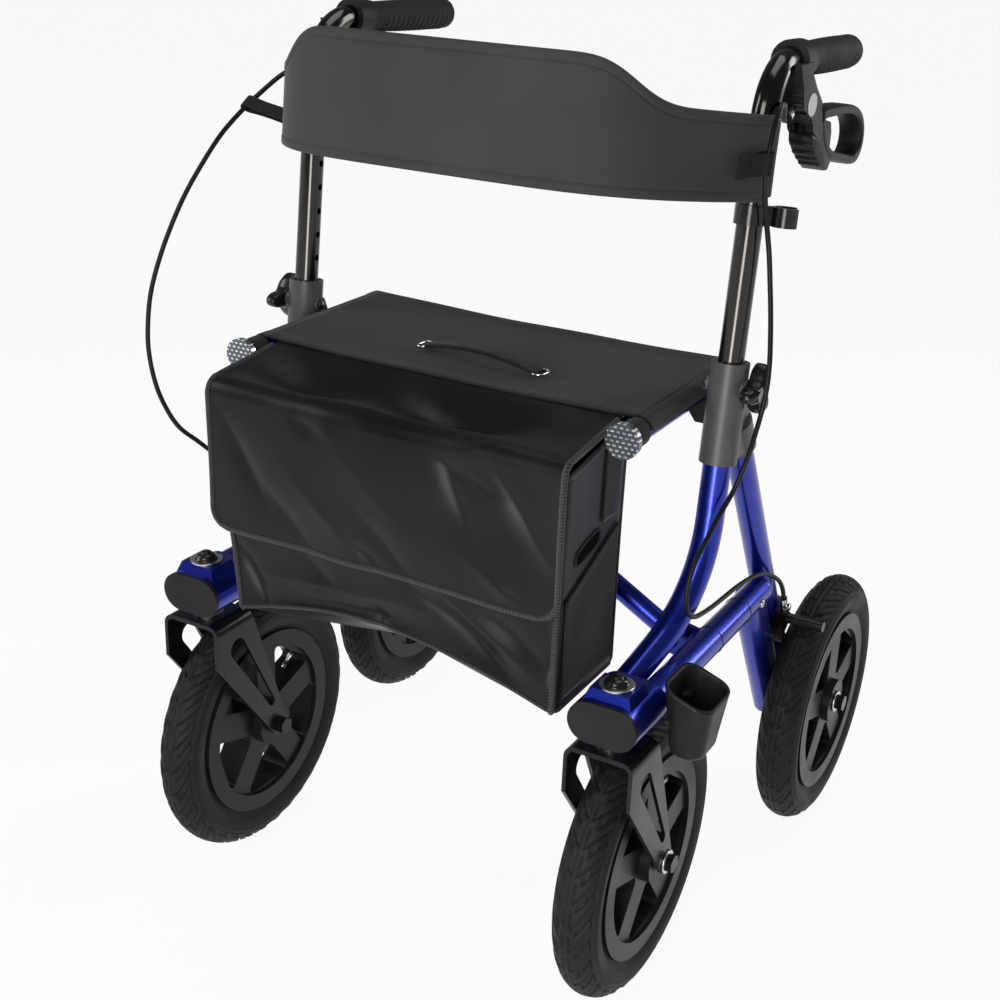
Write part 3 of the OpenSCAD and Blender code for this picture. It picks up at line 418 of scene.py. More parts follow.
def stacked(outline, middle, steps):
    # An outline in Y and Z round a middle point, carried along X by steps of (distance, scale)
    x, *yz = middle
    rings = [np.column_stack([np.full(len(outline), x + out), outline * scale + yz]) for out, scale in steps]
    return lofted(np.array(rings))


def smoothLine(points, steps, closed=False):
    # Each stretch is a cubic through its two ends, with slopes from the neighbours on both sides
    p = np.asarray(points, float)
    if closed:
        p = np.vstack([p[-1], p, p[0], p[1]])
    else:
        p = np.vstack([2 * p[0] - p[1], p, 2 * p[-1] - p[-2]])
    t = np.linspace(0, 1, steps, endpoint=False)[None, :, None]
    a, b, c, d = (p[k:len(p) - 3 + k][:, None, :] for k in range(4))
    line = 0.5 * (2 * b + (c - a) * t + (2 * a - 5 * b + 4 * c - d) * t**2 + (3 * b - a - 3 * c + d) * t**3)
    line = line.reshape(-1, p.shape[1])
    return line if closed else np.vstack([line, p[-2]])


def band(line, profile, across, closed=False):
    # A profile carried along a line: its first number goes along `across`, squared to the line, and its
    # second at right angles to both
    line = np.asarray(line, float)
    way = np.roll(line, -1, 0) - np.roll(line, 1, 0) if closed else np.gradient(line, axis=0)
    way = unit(way)
    side = np.broadcast_to(np.asarray(across, float), line.shape)
    side = unit(side - way * (side * way).sum(1, keepdims=True))
    rise = np.cross(way, side)
    return lofted(line[:, None] + side[:, None] * profile[:, :1] + rise[:, None] * profile[:, 1:], closed)


def roundProfile(radius, count):
    # A circle: cosine and sine of even angles
    a = ringAngles(count)
    return radius * np.stack([np.cos(a), np.sin(a)], -1)


def softProfile(width, height, power, count):
    # A rectangle with soft corners: a superellipse
    a = ringAngles(count) + 1e-4
    c, s = np.cos(a), np.sin(a)
    x = width / 2 * np.sign(c) * np.abs(c) ** (2 / power)
    return np.stack([x, height / 2 * np.sign(s) * np.abs(s) ** (2 / power)], -1)


def cordPart(line, radius, across=alongX, count=10, closed=False):
    # A circle carried along a line
    return band(line, roundProfile(radius, count), across, closed)


def runAlong(line):
    # The distance of each point from the line's first
    return np.concatenate([[0], np.cumsum(np.linalg.norm(np.diff(line, axis=0), axis=1))])


mapWidth = 0.01


def cordMap(parts, turns):
    # Map of a cord: along its length in metres, and round it over the map's width
    found = []
    for p, _, fans in parts:
        run = runAlong(np.asarray(p).reshape(-1, turns, 3).mean(1)) * mm
        across = np.arange(turns) / turns * mapWidth
        found.append(gridOf(run[:, None], across[None, :]).reshape(-1, 2))
        found.append(np.zeros((len(fans), 2)))
    return np.vstack(found)


def turned(middle, axis, stations, radii, count):
    # A round piece: circles at stations along an axis; a table of radii gives one for each angle too
    axis = unit(np.asarray(axis, float))
    first = unit(np.cross(axis, alongZ if abs(axis[2]) < 0.9 else alongX))
    second = np.cross(axis, first)
    a = ringAngles(count)
    circle = np.cos(a)[:, None] * first + np.sin(a)[:, None] * second
    stations = np.asarray(stations, float)
    radii = np.asarray(radii, float).reshape(len(stations), -1, 1)
    return lofted(np.asarray(middle, float) + stations[:, None, None] * axis + radii * circle[None])


def spun(v, axis, count):
    # The round piece that a dictionary describes
    return [turned(v["middle"], axis, v["stations"], v["radii"], count)]


def barsAcross(x, half, radius, places, ease=0.8):
    # Round bars along X with eased ends, one at each place in Y and Z
    stations, radii = [-half, 1 - half, half - 1, half], [radius - ease, radius, radius, radius - ease]
    return [turned((x, y, z), alongX, stations, radii, 14) for y, z in places]


def sheetPart(grid, lift, thick):
    # Both faces of a cloth: the grid moved out and in by its half thickness, joined along all edges
    upper, lower = grid + lift * thick[..., None], grid - lift * thick[..., None]
    rings = np.concatenate([upper, lower[:, ::-1]], 1)
    count, size = rings.shape[:2]
    faces = [ringFaces(count, size)]
    j = np.arange(grid.shape[1] - 1)
    for row in (0, (count - 1) * size):
        faces.append(row + np.stack([j, j + 1, size - 2 - j, size - 1 - j], -1))
    return rings.reshape(-1, 3), np.vstack(faces), []


stitch = {"pitch": 4.2, "length": 2.8, "width": 0.55, "rise": 0.45, "sink": 0.2}


def stitchParts(line, out, v):
    # One short ridge of five points for each stitch, laid along the line and standing out of the cloth
    run = runAlong(line)
    mid = np.arange(v["pitch"], run[-1] - v["pitch"], v["pitch"])

    def at(values, s):
        return np.stack([np.interp(s, run, values[:, k]) for k in range(3)], -1)

    a, b, n = at(line, mid - v["length"] / 2), at(line, mid + v["length"] / 2), unit(at(out, mid))
    side, m, low = unit(np.cross(b - a, n)) * v["width"], (a + b) / 2, n * v["sink"]
    p = np.stack([a - low, m + side - low, b - low, m - side - low, m + n * v["rise"]], 1)
    base = np.arange(len(mid))[:, None] * 5
    corners = [0, 3, 2, 1], [0, 1, 4], [1, 2, 4], [2, 3, 4], [3, 0, 4]
    return p.reshape(-1, 3), [base + face for face in corners]


def addStitches(name, lines, body, fold):
    # The stitches of several seams as one piece
    points, faces, at = [], [], 0
    for line, out in lines:
        p, blocks = stitchParts(line, out, stitch)
        faces += [f for block in blocks for f in (block + at).tolist()]
        points.append(p)
        at += len(p)
    settled(meshObject(name, np.vstack(points), faces), "thread", body, fold)


# Brake cables: held cords along the frame, on the routes of their solids
cable = {"radius": 2.5, "steps": 6, "sides": 12, "bendFrom": (0, -80, 640), "bendTo": (0, -40, 850)}
cableTail = [
    (262, -150.3, 398), (262, -110.3, 391), (262, -73.3, 388), (262, -36.3, 385), (262, -2.3, 380),
    (263, 25.7, 374), (265, 49.7, 365), (269, 67.7, 354), (271, 79.2, 343.4), (272, 87.2, 331.4),
    (272, 91.2, 322.4),
]
cableRoutes = {
    "left": [
        (254, -22.3, 855.9), (257, -33.6, 856.8), (261, -45.6, 865.8), (264, -56.6, 873.8),
        (265, -67.6, 873.8), (266, -79.6, 861.8), (267, -90.6, 839.8), (267, -94.6, 819.8),
        (267, -91.6, 799.8), (268, -86.6, 779.8), (270, -81.3, 760), (273, -79.3, 740), (276, -78.3, 716),
        (280, -80.3, 692), (284, -84.3, 668), (288, -90.3, 644), (290, -96.3, 622), (289, -100.3, 600),
        (285, -99.3, 578), (280, -96.3, 556), (275, -96.3, 536), (270, -101.3, 516), (265, -118.3, 496),
        (261, -140.3, 474), (258, -156.3, 455), (257, -165.3, 436), (258, -168.3, 418), (260, -163.3, 406),
    ],
    "right": [
        (254, -22.3, 855.9), (257, -33.6, 855.8), (263, -47.6, 858.8), (269, -63.6, 858.8),
        (274, -87.6, 851.8), (279, -113.6, 837.8), (285, -141.6, 819.8), (292, -167.6, 797.8),
        (300, -189.6, 769.8), (307, -208.3, 742), (312, -224.3, 714), (316, -240.3, 682),
        (318, -254.3, 648), (318, -261.3, 616), (318, -262.3, 586), (315, -258.3, 552), (310, -250.3, 524),
        (301, -240.3, 500), (290, -222.3, 480), (280, -202.3, 458), (272, -184.3, 436), (266, -168.3, 414),
    ],
}
for side, route in cableRoutes.items():
    line = smoothLine(np.array(route + cableTail) * (sides[side], 1, 1), cable["steps"])
    tube = cordPart(line, cable["radius"], count=cable["sides"])
    piece = addPiece("brakeCable." + side, [tube], "cableSheath", None)
    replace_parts(piece, "brake_cable_" + side)
    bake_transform(piece)
print("brake cables")

# Tyres: a round section carried round the wheel, with thin grooves that outline slanting tongues on both
# shoulders. "laps" are the places of the rings within one block, "turns" the angles of their points from the
# crown, and the tread's marks are shares of the way from the crown to the end of the tread
tyre = {
    "midRadius": 126.5, "section": 23.5, "beadRadius": 100.4, "beadTop": 109, "beadHalf": 17.6,
    "blocks": 34, "treadTo": 66, "groove": 2.3, "slant": 1.15, "wide": 0.05, "narrow": 0.03,
    "grooveFrom": 0.1, "grooveTo": 0.95, "tongueFrom": 0.38, "tongueTo": 0.93, "spine": 0.12,
    "gapDepth": 0.45, "wallRib": 84, "wallLine": 74, "wallWidth": 1.4,
    "laps": [0.0, 0.03, 0.06, 0.15, 0.25, 0.35, 0.44, 0.47, 0.53, 0.56, 0.65, 0.75, 0.85, 0.94, 0.97],
    "turns": [4, 7, 9, 11, 15, 20, 26, 32, 38, 44, 49, 53, 56, 58.5, 60.5, 62.5, 64, 66, 68, 70, 72.5, 74,
    75.5, 79, 82.5, 84, 85.5, 89, 94, 100, 107, 114, 121, 128],
}
# The middles of the wheels on +X
wheels = {"front": (240, -202.5, 150), "rear": (291, 202.5, 150)}


def bump(x, width):
    # 1 at zero, falling off to nothing about one width away
    return np.exp(-((x / width) ** 4))


def tyreRings(t):
    # Rings lean with the tread, so each groove runs along the grid. A tongue is the space between two grooves
    # of one step, closed near the shoulder by a short groove across.
    turn = np.radians(np.concatenate([-np.array(t["turns"])[::-1], [0], t["turns"]]))[None, :]
    s = np.abs(turn) / math.radians(t["treadTo"])
    phase = np.tile(t["laps"], t["blocks"])[:, None]
    lap = np.repeat(np.arange(t["blocks"]), len(t["laps"]))[:, None] + phase
    a = 2 * np.pi / t["blocks"] * (lap - t["slant"] * np.minimum(s, 1) ** 1.4)
    wide, narrow = t["wide"], t["narrow"]
    first = bump((phase + 0.5) % 1 - 0.5, wide) * (s > t["grooveFrom"]) * (s < t["grooveTo"])
    second = bump(phase - 0.5, wide) * (s > t["tongueFrom"]) * (s < t["grooveTo"])
    across = bump(s - t["tongueTo"], narrow) * (phase >= 0.5)
    across = across + bump(s - t["tongueFrom"], narrow) * (phase <= 0.53)
    spine = bump(s - t["spine"], narrow) * (phase > 0.25)
    gap = t["gapDepth"] * (phase > 0.03) * (phase < 0.5)
    gap = gap * clamped((s - 0.5) / 0.1) * clamped((1.02 - s) / 0.08)
    cut = np.maximum.reduce(np.broadcast_arrays(first, second, across, spine, gap))
    degrees = np.degrees(np.abs(turn))
    rib, furrow = (bump(degrees - t[k], t["wallWidth"]) for k in ("wallRib", "wallLine"))
    r = t["section"] - t["groove"] * cut + (0.5 * rib - 0.6 * furrow)
    x, radius = r * np.sin(turn), t["midRadius"] + r * np.cos(turn)
    half, low, high = t["beadHalf"], t["beadRadius"], t["beadTop"]
    bead = np.array([[half, high], [half, low], [-half, low], [-half, high]])
    whole = np.ones((len(lap), 1))
    x = np.hstack([x, whole * bead[:, 0]])
    radius = np.hstack([radius, whole * bead[:, 1]])
    a = np.hstack([a, np.repeat(a[:, -1:], len(bead), 1)])
    return np.stack([x, radius * np.cos(a), radius * np.sin(a)], -1)


tyreShape = tyreRings(tyre)
for end, middle in wheels.items():
    shell = lofted(tyreShape + middle, closed=True)
    addPair(end + "Tyre", [shell], "tyreRubber", end + "_wheel", end + "_tyre")
print("tyres")

# Valves out of the rims into one window, pale washers on the axles, and swivel bolts with dome nuts
valve = {
    "turn": 0.62,
    "stations": [64, 64.6, 70, 70.4, 78, 78.4, 89.5],
    "radii": [2.0, 2.5, 2.5, 2.1, 2.1, 3.2, 3.2],
}
washers = {"front": {"x": 275.8, "radius": 12.5, "body": "caster"},
           "rear": {"x": 316.6, "radius": 12.8, "body": "frame"}}
dome = {
    "middle": (240, -276.5, 375.3),
    "stations": [1.9, 3.0, 3.6, 5.4, 7.0, 8.0, 8.2, 9.6, 10.2, 10.4],
    "radii": [12.4, 12.2, 11, 10.4, 9.0, 6.8, 5.6, 5.4, 4.4, 0.4],
}
bolt = {
    "middle": (240, -276.5, 0),
    "stations": [306.5, 311, 311, 316, 316, 323.7, 323.7, 375.3, 375.3, 376.9, 377.3, 377.3, 380],
    "radii": [10.6, 10.6, 7, 7, 17, 17, 7, 7, 17, 17, 16.4, 7, 7],
}
washerRun, washerEase = [-0.2, 1.7, 2.1], np.array([0, 0, 0.6])
valveWay = (0, math.cos(valve["turn"]), math.sin(valve["turn"]))
for end, middle in wheels.items():
    stem = turned(middle, valveWay, valve["stations"], valve["radii"], 14)
    addPair(end + "Valve", [stem], "zincSteel", end + "_wheel")
    w = washers[end]
    disc = turned((w["x"], *middle[1:]), alongX, washerRun, w["radius"] - washerEase, 32)
    addPair(end + "Washer", [disc], "zincSteel", w["body"])
addPair("domeNut", spun(dome, alongZ, 36), "blackGloss", "caster")
addPair("casterBolt", spun(bolt, alongZ, 40), "zincSteel", "caster", "caster_bolt", smooth=False)
print("valves, washers and dome nuts")

# Handles: ribbed grips, brake levers, blank label discs, cable adjusters and ribs on the brake housings
post = {"lean": math.radians(5.7), "x": 248, "y": -91.55, "z": 565, "gripZ": 908}


def postAt(z):
    # The middle of the left post at a height: it leans back from its joint
    return np.array([post["x"], post["y"] + (z - post["z"]) * math.tan(post["lean"]), z])


grip = {
    "run": (-5, 238, -8), "length": 164, "cap": 4, "radius": 16.4, "neck": 0.9, "collar": 0.6,
    "collarShare": 0.06, "ribs": 17, "ribHeight": 0.8, "ribEdge": 1.6, "ribFade": 1.5,
    "ribbed": (0.12, 0.9), "swell": 0.9, "flare": 1.2, "round": 9, "roundTo": 0.995, "along": 220,
    "around": 40,
}


def gripParts(g):
    # A collar, then a slight swell and flare to a round end; the ribs fade from full height below to nothing
    # on top
    run = np.linspace(0, g["length"], g["along"])
    share = run / g["length"]
    ribs = g["ribHeight"] * np.clip(g["ribEdge"] * np.cos(share * g["ribs"] * 2 * np.pi), -1, 1)
    ribs = ribs * ((share > g["ribbed"][0]) & (share < g["ribbed"][1]))
    radius = g["radius"] - g["neck"] + g["swell"] * np.sin(np.pi * share) ** 2 + g["flare"] * share**2
    radius = np.where(share < g["collarShare"], g["radius"] + g["collar"], radius)
    left = clamped((run - g["length"] + g["round"]) / g["round"])
    radius = radius - g["round"] * (1 - np.sqrt(1 - np.minimum(left, g["roundTo"]) ** 2))
    below = ((1 + np.sin(ringAngles(g["around"]))) / 2) ** g["ribFade"]
    way = unit(np.array(g["run"], float))
    start = postAt(post["gripZ"]) + g["run"] - way * (g["length"] - g["cap"])
    return [turned(start, way, run, radius[:, None] + np.outer(ribs, below), g["around"])]


lever = {
    "pivot": (34.35, 848.83), "x": 254, "width": 25.6, "thick": 10,
    "line": [(26, 2), (64, 2), (100, 0), (124, -4), (143, -12), (154, -24), (157, -36), (153, -47),
    (143, -54), (128, -54), (94, -47), (61, -40), (40, -28), (27, -12)], "tongue": 9.6, "tongueHeight": 14,
    "tongueRun": (-7, 27), "tongueSlope": 0.2, "rootWidth": 24,
    "root": [(-9, -10.2), (-4, -12.9), (1.5, -13.5), (7, -11.6), (11, -7.9), (13.5, -3), (28, -2), (46, -6),
    (51, -16), (51, -34), (58, -48), (52, -54), (42, -53), (26, -44), (8, -33), (-7, -20)],
    "rootRibs": [(-4, -22.3), (6, -31.2), (17, -38.3), (28, -45)], "rib": 2.3, "ease": 1.2, "easeTo": 0.95,
}


def leverParts(v):
    # A closed loop for the fingers, a tongue into the housing, and the ribbed slab between pivot and loop
    flat = np.array(v["line"]) + v["pivot"]
    line = smoothLine(np.column_stack([np.full(len(flat), v["x"]), flat]), 5, closed=True)
    loop = band(line, softProfile(v["width"], v["thick"], 4.5, 20), alongX, closed=True)
    d = np.linspace(*v["tongueRun"], 12)
    path = np.column_stack([np.full(12, v["x"]), v["pivot"][0] + d, v["pivot"][1] - v["tongueSlope"] * d])
    tongue = band(path, softProfile(v["tongue"], v["tongueHeight"], 4, 20), alongX)
    outline = np.array(v["root"]) + v["pivot"]
    middle, half, small = outline.mean(0), v["rootWidth"] / 2, v["easeTo"]
    steps = [(-half, small), (v["ease"] - half, 1), (half - v["ease"], 1), (half, small)]
    slab = stacked(outline - middle, (v["x"], *middle), steps)
    return [loop, tongue, slab, *barsAcross(v["x"], half - 1, v["rib"], np.array(v["rootRibs"]) + v["pivot"])]


label = {
    "middle": (267, 12.7, 866.5), "radius": 10.7,
    "steps": [(-0.6, 1), (0.65, 1), (1.105, 0.97), (1.3, 0.88)],
}
housingRib = {
    "x": 254, "half": 12.6, "radius": 2.2,
    "places": [(-12.5, 877.5), (-10.2, 868.5), (1.5, 857.5), (9.5, 854), (17.5, 850.5)],
}
adjuster = {
    "middle": (254, -8.6, 863.8), "way": (0, -12, -7),
    "stations": [2, 2.2, 6, 6.2, 7.4, 7.6, 13.5, 13.7],
    "radii": [3.9, 5.6, 5.6, 4.6, 4.6, 6.4, 6.4, 4.8],
}
disc = stacked(roundProfile(label["radius"], 36), label["middle"], label["steps"])
addPair("handGrip", gripParts(grip), "gripRubber", "post", "hand_grip")
addPair("brakeLever", leverParts(lever), "blackMoulding", "lever", "brake_lever")
addPair("blankLabel", [disc], "blankLabel", "post")
addPair("cableAdjuster", spun(adjuster, adjuster["way"], 20), "chrome", "post", smooth=False)
addPair("housingRibs", barsAcross(**housingRib), "blackMoulding", "post")
print("handles")

# Clamp knobs outside the sleeves, and their screws' heads inside
knob = {
    "middle": (268.8, -86.73, 613), "core": 11, "reach": 17, "lobes": 3, "power": 1.8, "stem": 3.9,
    "stemRun": [-8, 1],
    "steps": [(0, 0.86), (1.2, 0.96), (3, 1), (9, 1), (12, 0.965), (14, 0.88), (17, 0.7), (15.8, 0.5),
    (15.8, 0.05)],
}
sleeveScrew = {"middle": (227.5, -86.73, 613), "stations": [-0.4, 0, 2.4, 3.2], "radii": [4.6, 5.4, 5.2, 3.8]}
screwEye = {"middle": (227.5, -86.73, 613), "stations": [3.0, 3.5, 3.7], "radii": [2.4, 2.4, 1.6]}
inwards = (-1, 0, 0)


def knobParts(k):
    # Soft lobes round the screw: the radius swings from the core's out by the reach, once for each lobe
    a = ringAngles(72)
    radius = k["core"] + k["reach"] * ((1 + np.cos(k["lobes"] * a)) / 2) ** k["power"]
    outline = np.column_stack([-radius * np.cos(a), radius * np.sin(a)])
    stem = turned(k["middle"], alongX, k["stemRun"], [k["stem"]] * 2, 16)
    return [stacked(outline, k["middle"], k["steps"]), stem]


addPair("clampKnob", knobParts(knob), "blackGloss", "knob", "clamp_knob")
addPair("sleeveScrew", spun(sleeveScrew, inwards, 24), "blackGloss", "frame")
addPair("screwEye", spun(screwEye, inwards, 16), "zincSteel", "frame")
print("clamp knobs")

# Folds: where a soft piece stays put, and the share of its width that is left at the fold's limit
seatFold = {"anchor": (0.213, 0, 0), "keep": 0.587}
bagFold = {"anchor": (0.1953, 0, 0), "keep": 0.549}
backFold = {"anchor": (0.261, 0, 0), "keep": 0.639}

# Seat: a sheet stretched over the two rails, with hems, a carry strap and two wire loops
seat = {
    "railX": 213, "railZ": 597, "wrap": 12.4, "front": -207.3, "rear": 5.7, "sag": 5.0, "thick": 2.2,
    "hem": 16, "hemLift": 0.5, "round": 1.5, "wrapTurn": 82, "edgePull": 0.35, "edgeReach": 20,
    "ripple": 0.6, "waves": (31, 47), "stitched": (-193.8, -203.3, -7.8),
}


def seatLines(v):
    # Across the seat: flat between the tops of the rails, and from there down the outer side of a rail
    turn = np.radians(np.linspace(-3, v["wrapTurn"], 14))
    outer = np.column_stack([v["railX"] + v["wrap"] * np.sin(turn), v["railZ"] + v["wrap"] * np.cos(turn)])
    flat = np.linspace(-v["railX"], v["railX"], 73)
    return np.column_stack([flat, np.full(len(flat), v["railZ"] + v["wrap"])]), outer


def seatParts(v, line):
    # A slight sag between the rails, and thicker hems along the front and rear edges
    y = np.concatenate([[0, 1, 2.5], np.linspace(5, 208, 52), [210.5, 212, 213]]) + v["front"]
    x, z = line[:, 0][:, None], line[:, 1][:, None]
    inside = clamped(1 - (x / v["railX"]) ** 2)
    edge = np.minimum(y - v["front"], v["rear"] - y)[None, :]
    pull = 1 - v["edgePull"] * np.exp(-edge / v["edgeReach"])
    z = z - v["sag"] * inside * pull + v["ripple"] * rippled(x, y[None, :], v["waves"]) * inside
    hem = v["hemLift"] * clamped((v["hem"] - edge) / v["round"])
    thick = v["thick"] / 2 * rounded(edge, v["round"], 0.05) + hem
    n = np.gradient(line, axis=0)
    n = unit(np.column_stack([-n[:, 1], n[:, 0]]))
    grid = gridOf(x, y[None, :], z)
    lift = np.stack([n[:, 0], np.zeros(len(n)), n[:, 1]], -1)[:, None, :]
    return grid, lift, thick


flatLine, wrapLine = seatLines(seat)
seatGrid, seatLift, seatThick = seatParts(seat, flatLine)
seatWrap = sheetPart(*seatParts(seat, wrapLine))
seatSheet = sheetPart(seatGrid, seatLift, seatThick)
seatPiece = addPiece("seatFabric", [seatSheet], "seatCloth", "bag", fold=seatFold)
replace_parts(seatPiece, "seat_fabric")
addPiece("seatWrap.left", [seatWrap], "seatCloth", "bag")
addPiece("seatWrap.right", mirrored([seatWrap], -1), "seatCloth", "left_brace")
seatUp = seatLift[1:-1, 0]
hemRows = [np.argmin(np.abs(seatGrid[0, :, 1] - y)) for y in seat["stitched"]]
hemLines = [(seatGrid[1:-1, k] + seatUp * seatThick[0, k], seatUp) for k in hemRows]
addStitches("seatStitches", hemLines, "bag", seatFold)

strap = {
    "from": (-57, -140), "to": (80, -152), "top": 608.5, "lift": 2, "rise": 9, "width": 17, "thick": 4.4,
    "loopWire": 1.0, "loopLift": 3.2,
    "loop": [(-9, -3), (-9, 5), (0, 6.5), (9, 5), (9, -3), (0, -3.5)],
}


def strapParts(v):
    # A low arch between the two loops, flat across
    t = np.linspace(0, 1, 40)
    a, b = np.array(v["from"]), np.array(v["to"])
    height = v["top"] + v["lift"] + v["rise"] * np.sin(np.pi * t) ** 0.8
    line = np.column_stack([a + (b - a) * t[:, None], height])
    return [band(line, softProfile(v["width"], v["thick"], 6, 20), [-(b - a)[1], (b - a)[0], 0])]


def strapLoops(v):
    # Wire round the strap's two ends: points across it and outwards along it
    a, b = np.array(v["from"], float), np.array(v["to"], float)
    way = unit(b - a)
    side = np.array([-way[1], way[0]])
    parts = []
    for p, out in ((a, -1), (b, 1)):
        corners = [p + side * u + way * out * w for u, w in v["loop"]]
        height = np.full(len(corners), v["top"] + v["loopLift"])
        line = smoothLine(np.column_stack([corners, height]), 8, closed=True)
        parts.append(cordPart(line, v["loopWire"], alongZ, closed=True))
    return parts


addPiece("carryStrap", strapParts(strap), "webbing", "bag", fold=seatFold)
addPiece("strapLoops", strapLoops(strap), "chrome", "bag", fold=seatFold)
print("seat")

# Backrest: a padded band on a bowed plan, bound along its edges, with a pocket round each post.
# "fall" gives the share by which the top edge has come down at distances from the middle
back = {
    "low": 788, "endX": 261, "endY": -6, "bow": 152, "power": 4.5, "midHeight": 118, "endHeight": 77,
    "even": (30, 88), "half": 2.6, "leastHalf": 0.5, "hem": 9, "hemLift": 0.5, "groove": 0.6,
    "stitched": (9.5, 108.5), "stitchEnd": 6, "stitchLift": 0.1,
    "fall": [(0, 0), (140, 0), (156, 0.07), (170, 0.27), (184, 0.59), (196, 0.83), (208, 0.93), (262, 1)],
    "pocket": [(5, 12.95), (4.2, 13.75), (4, 14.5), (4.3, 15.5), (6, 15.9), (38, 15.6), (70, 15.9),
    (72.5, 15.5), (73, 14.5), (72.6, 13.75), (71, 12.95)],
}


def backPoints(v, up):
    # Along the band by share s, bunched at the ends, and up it by the distances in `up`; the stretch between
    # the two heights of "even" takes up the change of the band's height
    s = np.sin(np.linspace(-np.pi / 2, np.pi / 2, 181))
    x = v["endX"] * s
    y = v["endY"] - v["bow"] * (1 - np.abs(s) ** v["power"])
    share = np.interp(np.abs(x), *np.transpose(v["fall"]))
    soft = np.exp(-(np.arange(-8, 9) / 4.0) ** 2)
    share = np.convolve(np.pad(share, 8, mode="edge"), soft / soft.sum(), mode="valid")
    height = (v["midHeight"] - share * (v["midHeight"] - v["endHeight"]))[:, None]
    low, high = v["even"]
    above = v["midHeight"] - up
    between = low + (up - low) / (high - low) * (height - low - (v["midHeight"] - high))
    z = np.where(up <= low, up, np.where(up < high, between, height - above))
    c, n = math.cos(post["lean"]), math.sin(post["lean"])
    lean = np.array([[1, 0, 0], [0, c, -n], [0, n, c]])
    local = gridOf(x[:, None], y[:, None], z)
    way = unit(np.stack([np.gradient(x), np.gradient(y)], -1))
    out = np.stack([way[:, 1], -way[:, 0], np.zeros(len(way))], -1)
    return local @ lean + postAt(v["low"]) * (0, 1, 1), (out @ lean)[:, None, :]


def pocketPart(v):
    # A soft sleeve round the post, by heights and radii: up its outer side, over the rim and down inside
    axis = np.array([0, math.sin(post["lean"]), math.cos(post["lean"])])
    across = np.array([0, math.cos(post["lean"]), -math.sin(post["lean"])])
    circle = roundProfile(1, 36) @ np.array([alongX, across])
    rings = [postAt(v["low"]) + axis * up + radius * circle for up, radius in v["pocket"]]
    return lofted(np.array(rings), closed=True)


backUp = np.concatenate([[0, 0.8, 2, 3.5, 6, 8, 9, 10, 13, 20, 30], np.linspace(36, 82, 9),
                         [88, 98, 105, 108, 109, 110, 112, 114.5, 116, 117.2, 118]])
backGrid, backOut = backPoints(back, backUp)
backEdge = np.minimum(backUp, back["midHeight"] - backUp)
backHalf = back["half"] * rounded(backEdge, back["half"], 0.04)
backHalf = backHalf + back["hemLift"] * (backEdge < back["hem"])
backHalf = backHalf - back["hemLift"] * (np.abs(backEdge - back["hem"]) < back["groove"])
backHalf = np.broadcast_to(np.maximum(backHalf, back["leastHalf"]), backGrid.shape[:2])
backSheet = sheetPart(backGrid, backOut, backHalf)
backPiece = addPiece("backrestBand", [backSheet], "backCloth", "left_post", fold=backFold)
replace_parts(backPiece, "backrest")
addPair("postPocket", [pocketPart(back)], "backCloth", "post")
stitchLines = []
sewn = slice(back["stitchEnd"], -back["stitchEnd"])
for up in back["stitched"]:
    k = np.argmin(np.abs(backUp - up))
    for face in (1, -1):
        out = backOut[sewn, 0] * face
        stitchLines.append((backGrid[sewn, k] + out * (backHalf[sewn, k, None] + back["stitchLift"]), out))
addStitches("backrestStitches", stitchLines, "left_post", backFold)

# Loops of tape on the backrest's ends that hold the cables: a flat band on a closed line round the cable
cableLoops = {
    "left": {"height": 20, "lean": (0, 0.1, 1),
             "line": [(250, -122, 823.8), (256, -110, 825), (264, -101.5, 825.9), (271, -97, 826.3),
                      (271.6, -91, 826.9), (266, -88.5, 827.2), (259, -93, 826.7), (254, -106, 825.4)]},
    "right": {"height": 15, "lean": (0, 0.85, 0.53),
              "line": [(238, -124.6, 814.1), (253, -126.7, 817.5), (269, -128.6, 820.5), (282, -129.6, 822.2),
                       (288.5, -131.8, 825.7), (284, -134.2, 829.6), (269, -131.5, 825.2),
                       (253, -129.4, 821.8), (238, -127.2, 818.4)]}}
tapeThick = 1.6
for side, v in cableLoops.items():
    line = smoothLine(v["line"], 6, closed=True)
    tape = band(line, softProfile(v["height"], tapeThick, 7, 20), v["lean"], closed=True)
    addPiece("cableLoop." + side, mirrored([tape], sides[side]), "webbing", side + "_post")
print("backrest")

# Bag: an open lofted shell of cloth. Its front rim hangs lower than the rear one, the lower front edge arches
# between the corners, and the -X side leans in towards the bottom.
bag = {
    "halfX": 195.3, "midY": -248.8, "halfY": 63.2, "corner": 12, "low": 346, "top": 598, "wall": 2.4,
    "bulge": 3.0, "sidePull": 1.6, "hollow": 9, "hollowZ": 395, "hollowReach": 42, "sag": 3.0, "round": 9,
    "around": 360, "rows": 64, "fall": 20, "tilt": 4, "arch": 28, "pull": 26, "footStep": 6,
    "creaseFade": 12, "ripple": 0.5, "waves": (17, 23), "floorShares": (0.97, 0.04), "innerShare": 0.98,
}


def softRect(halfX, halfY, corner, count):
    # Points evenly along a rectangle with round corners, from the middle of its front side, and the way out
    # at each: the arc's middle moves along the straights, and the way out turns by a quarter at each corner
    x, y, quarter = halfX - corner, halfY - corner, corner * math.pi / 2
    ends = np.concatenate([[0], np.cumsum([x, quarter, 2 * y, quarter, 2 * x, quarter, 2 * y, quarter, x])])
    d = np.linspace(0, ends[-1], count, endpoint=False)
    turn = np.interp(d, ends, [0, 0, 1, 1, 2, 2, 3, 3, 4, 4]) * math.pi / 2
    out = np.stack([np.sin(turn), -np.cos(turn)], -1)
    middleX = np.interp(d, ends, [0, x, x, x, x, -x, -x, -x, -x, 0])
    middleY = np.interp(d, ends, [-y, -y, -y, y, y, y, y, -y, -y, -y])
    return np.stack([middleX, middleY], -1) + corner * out, out


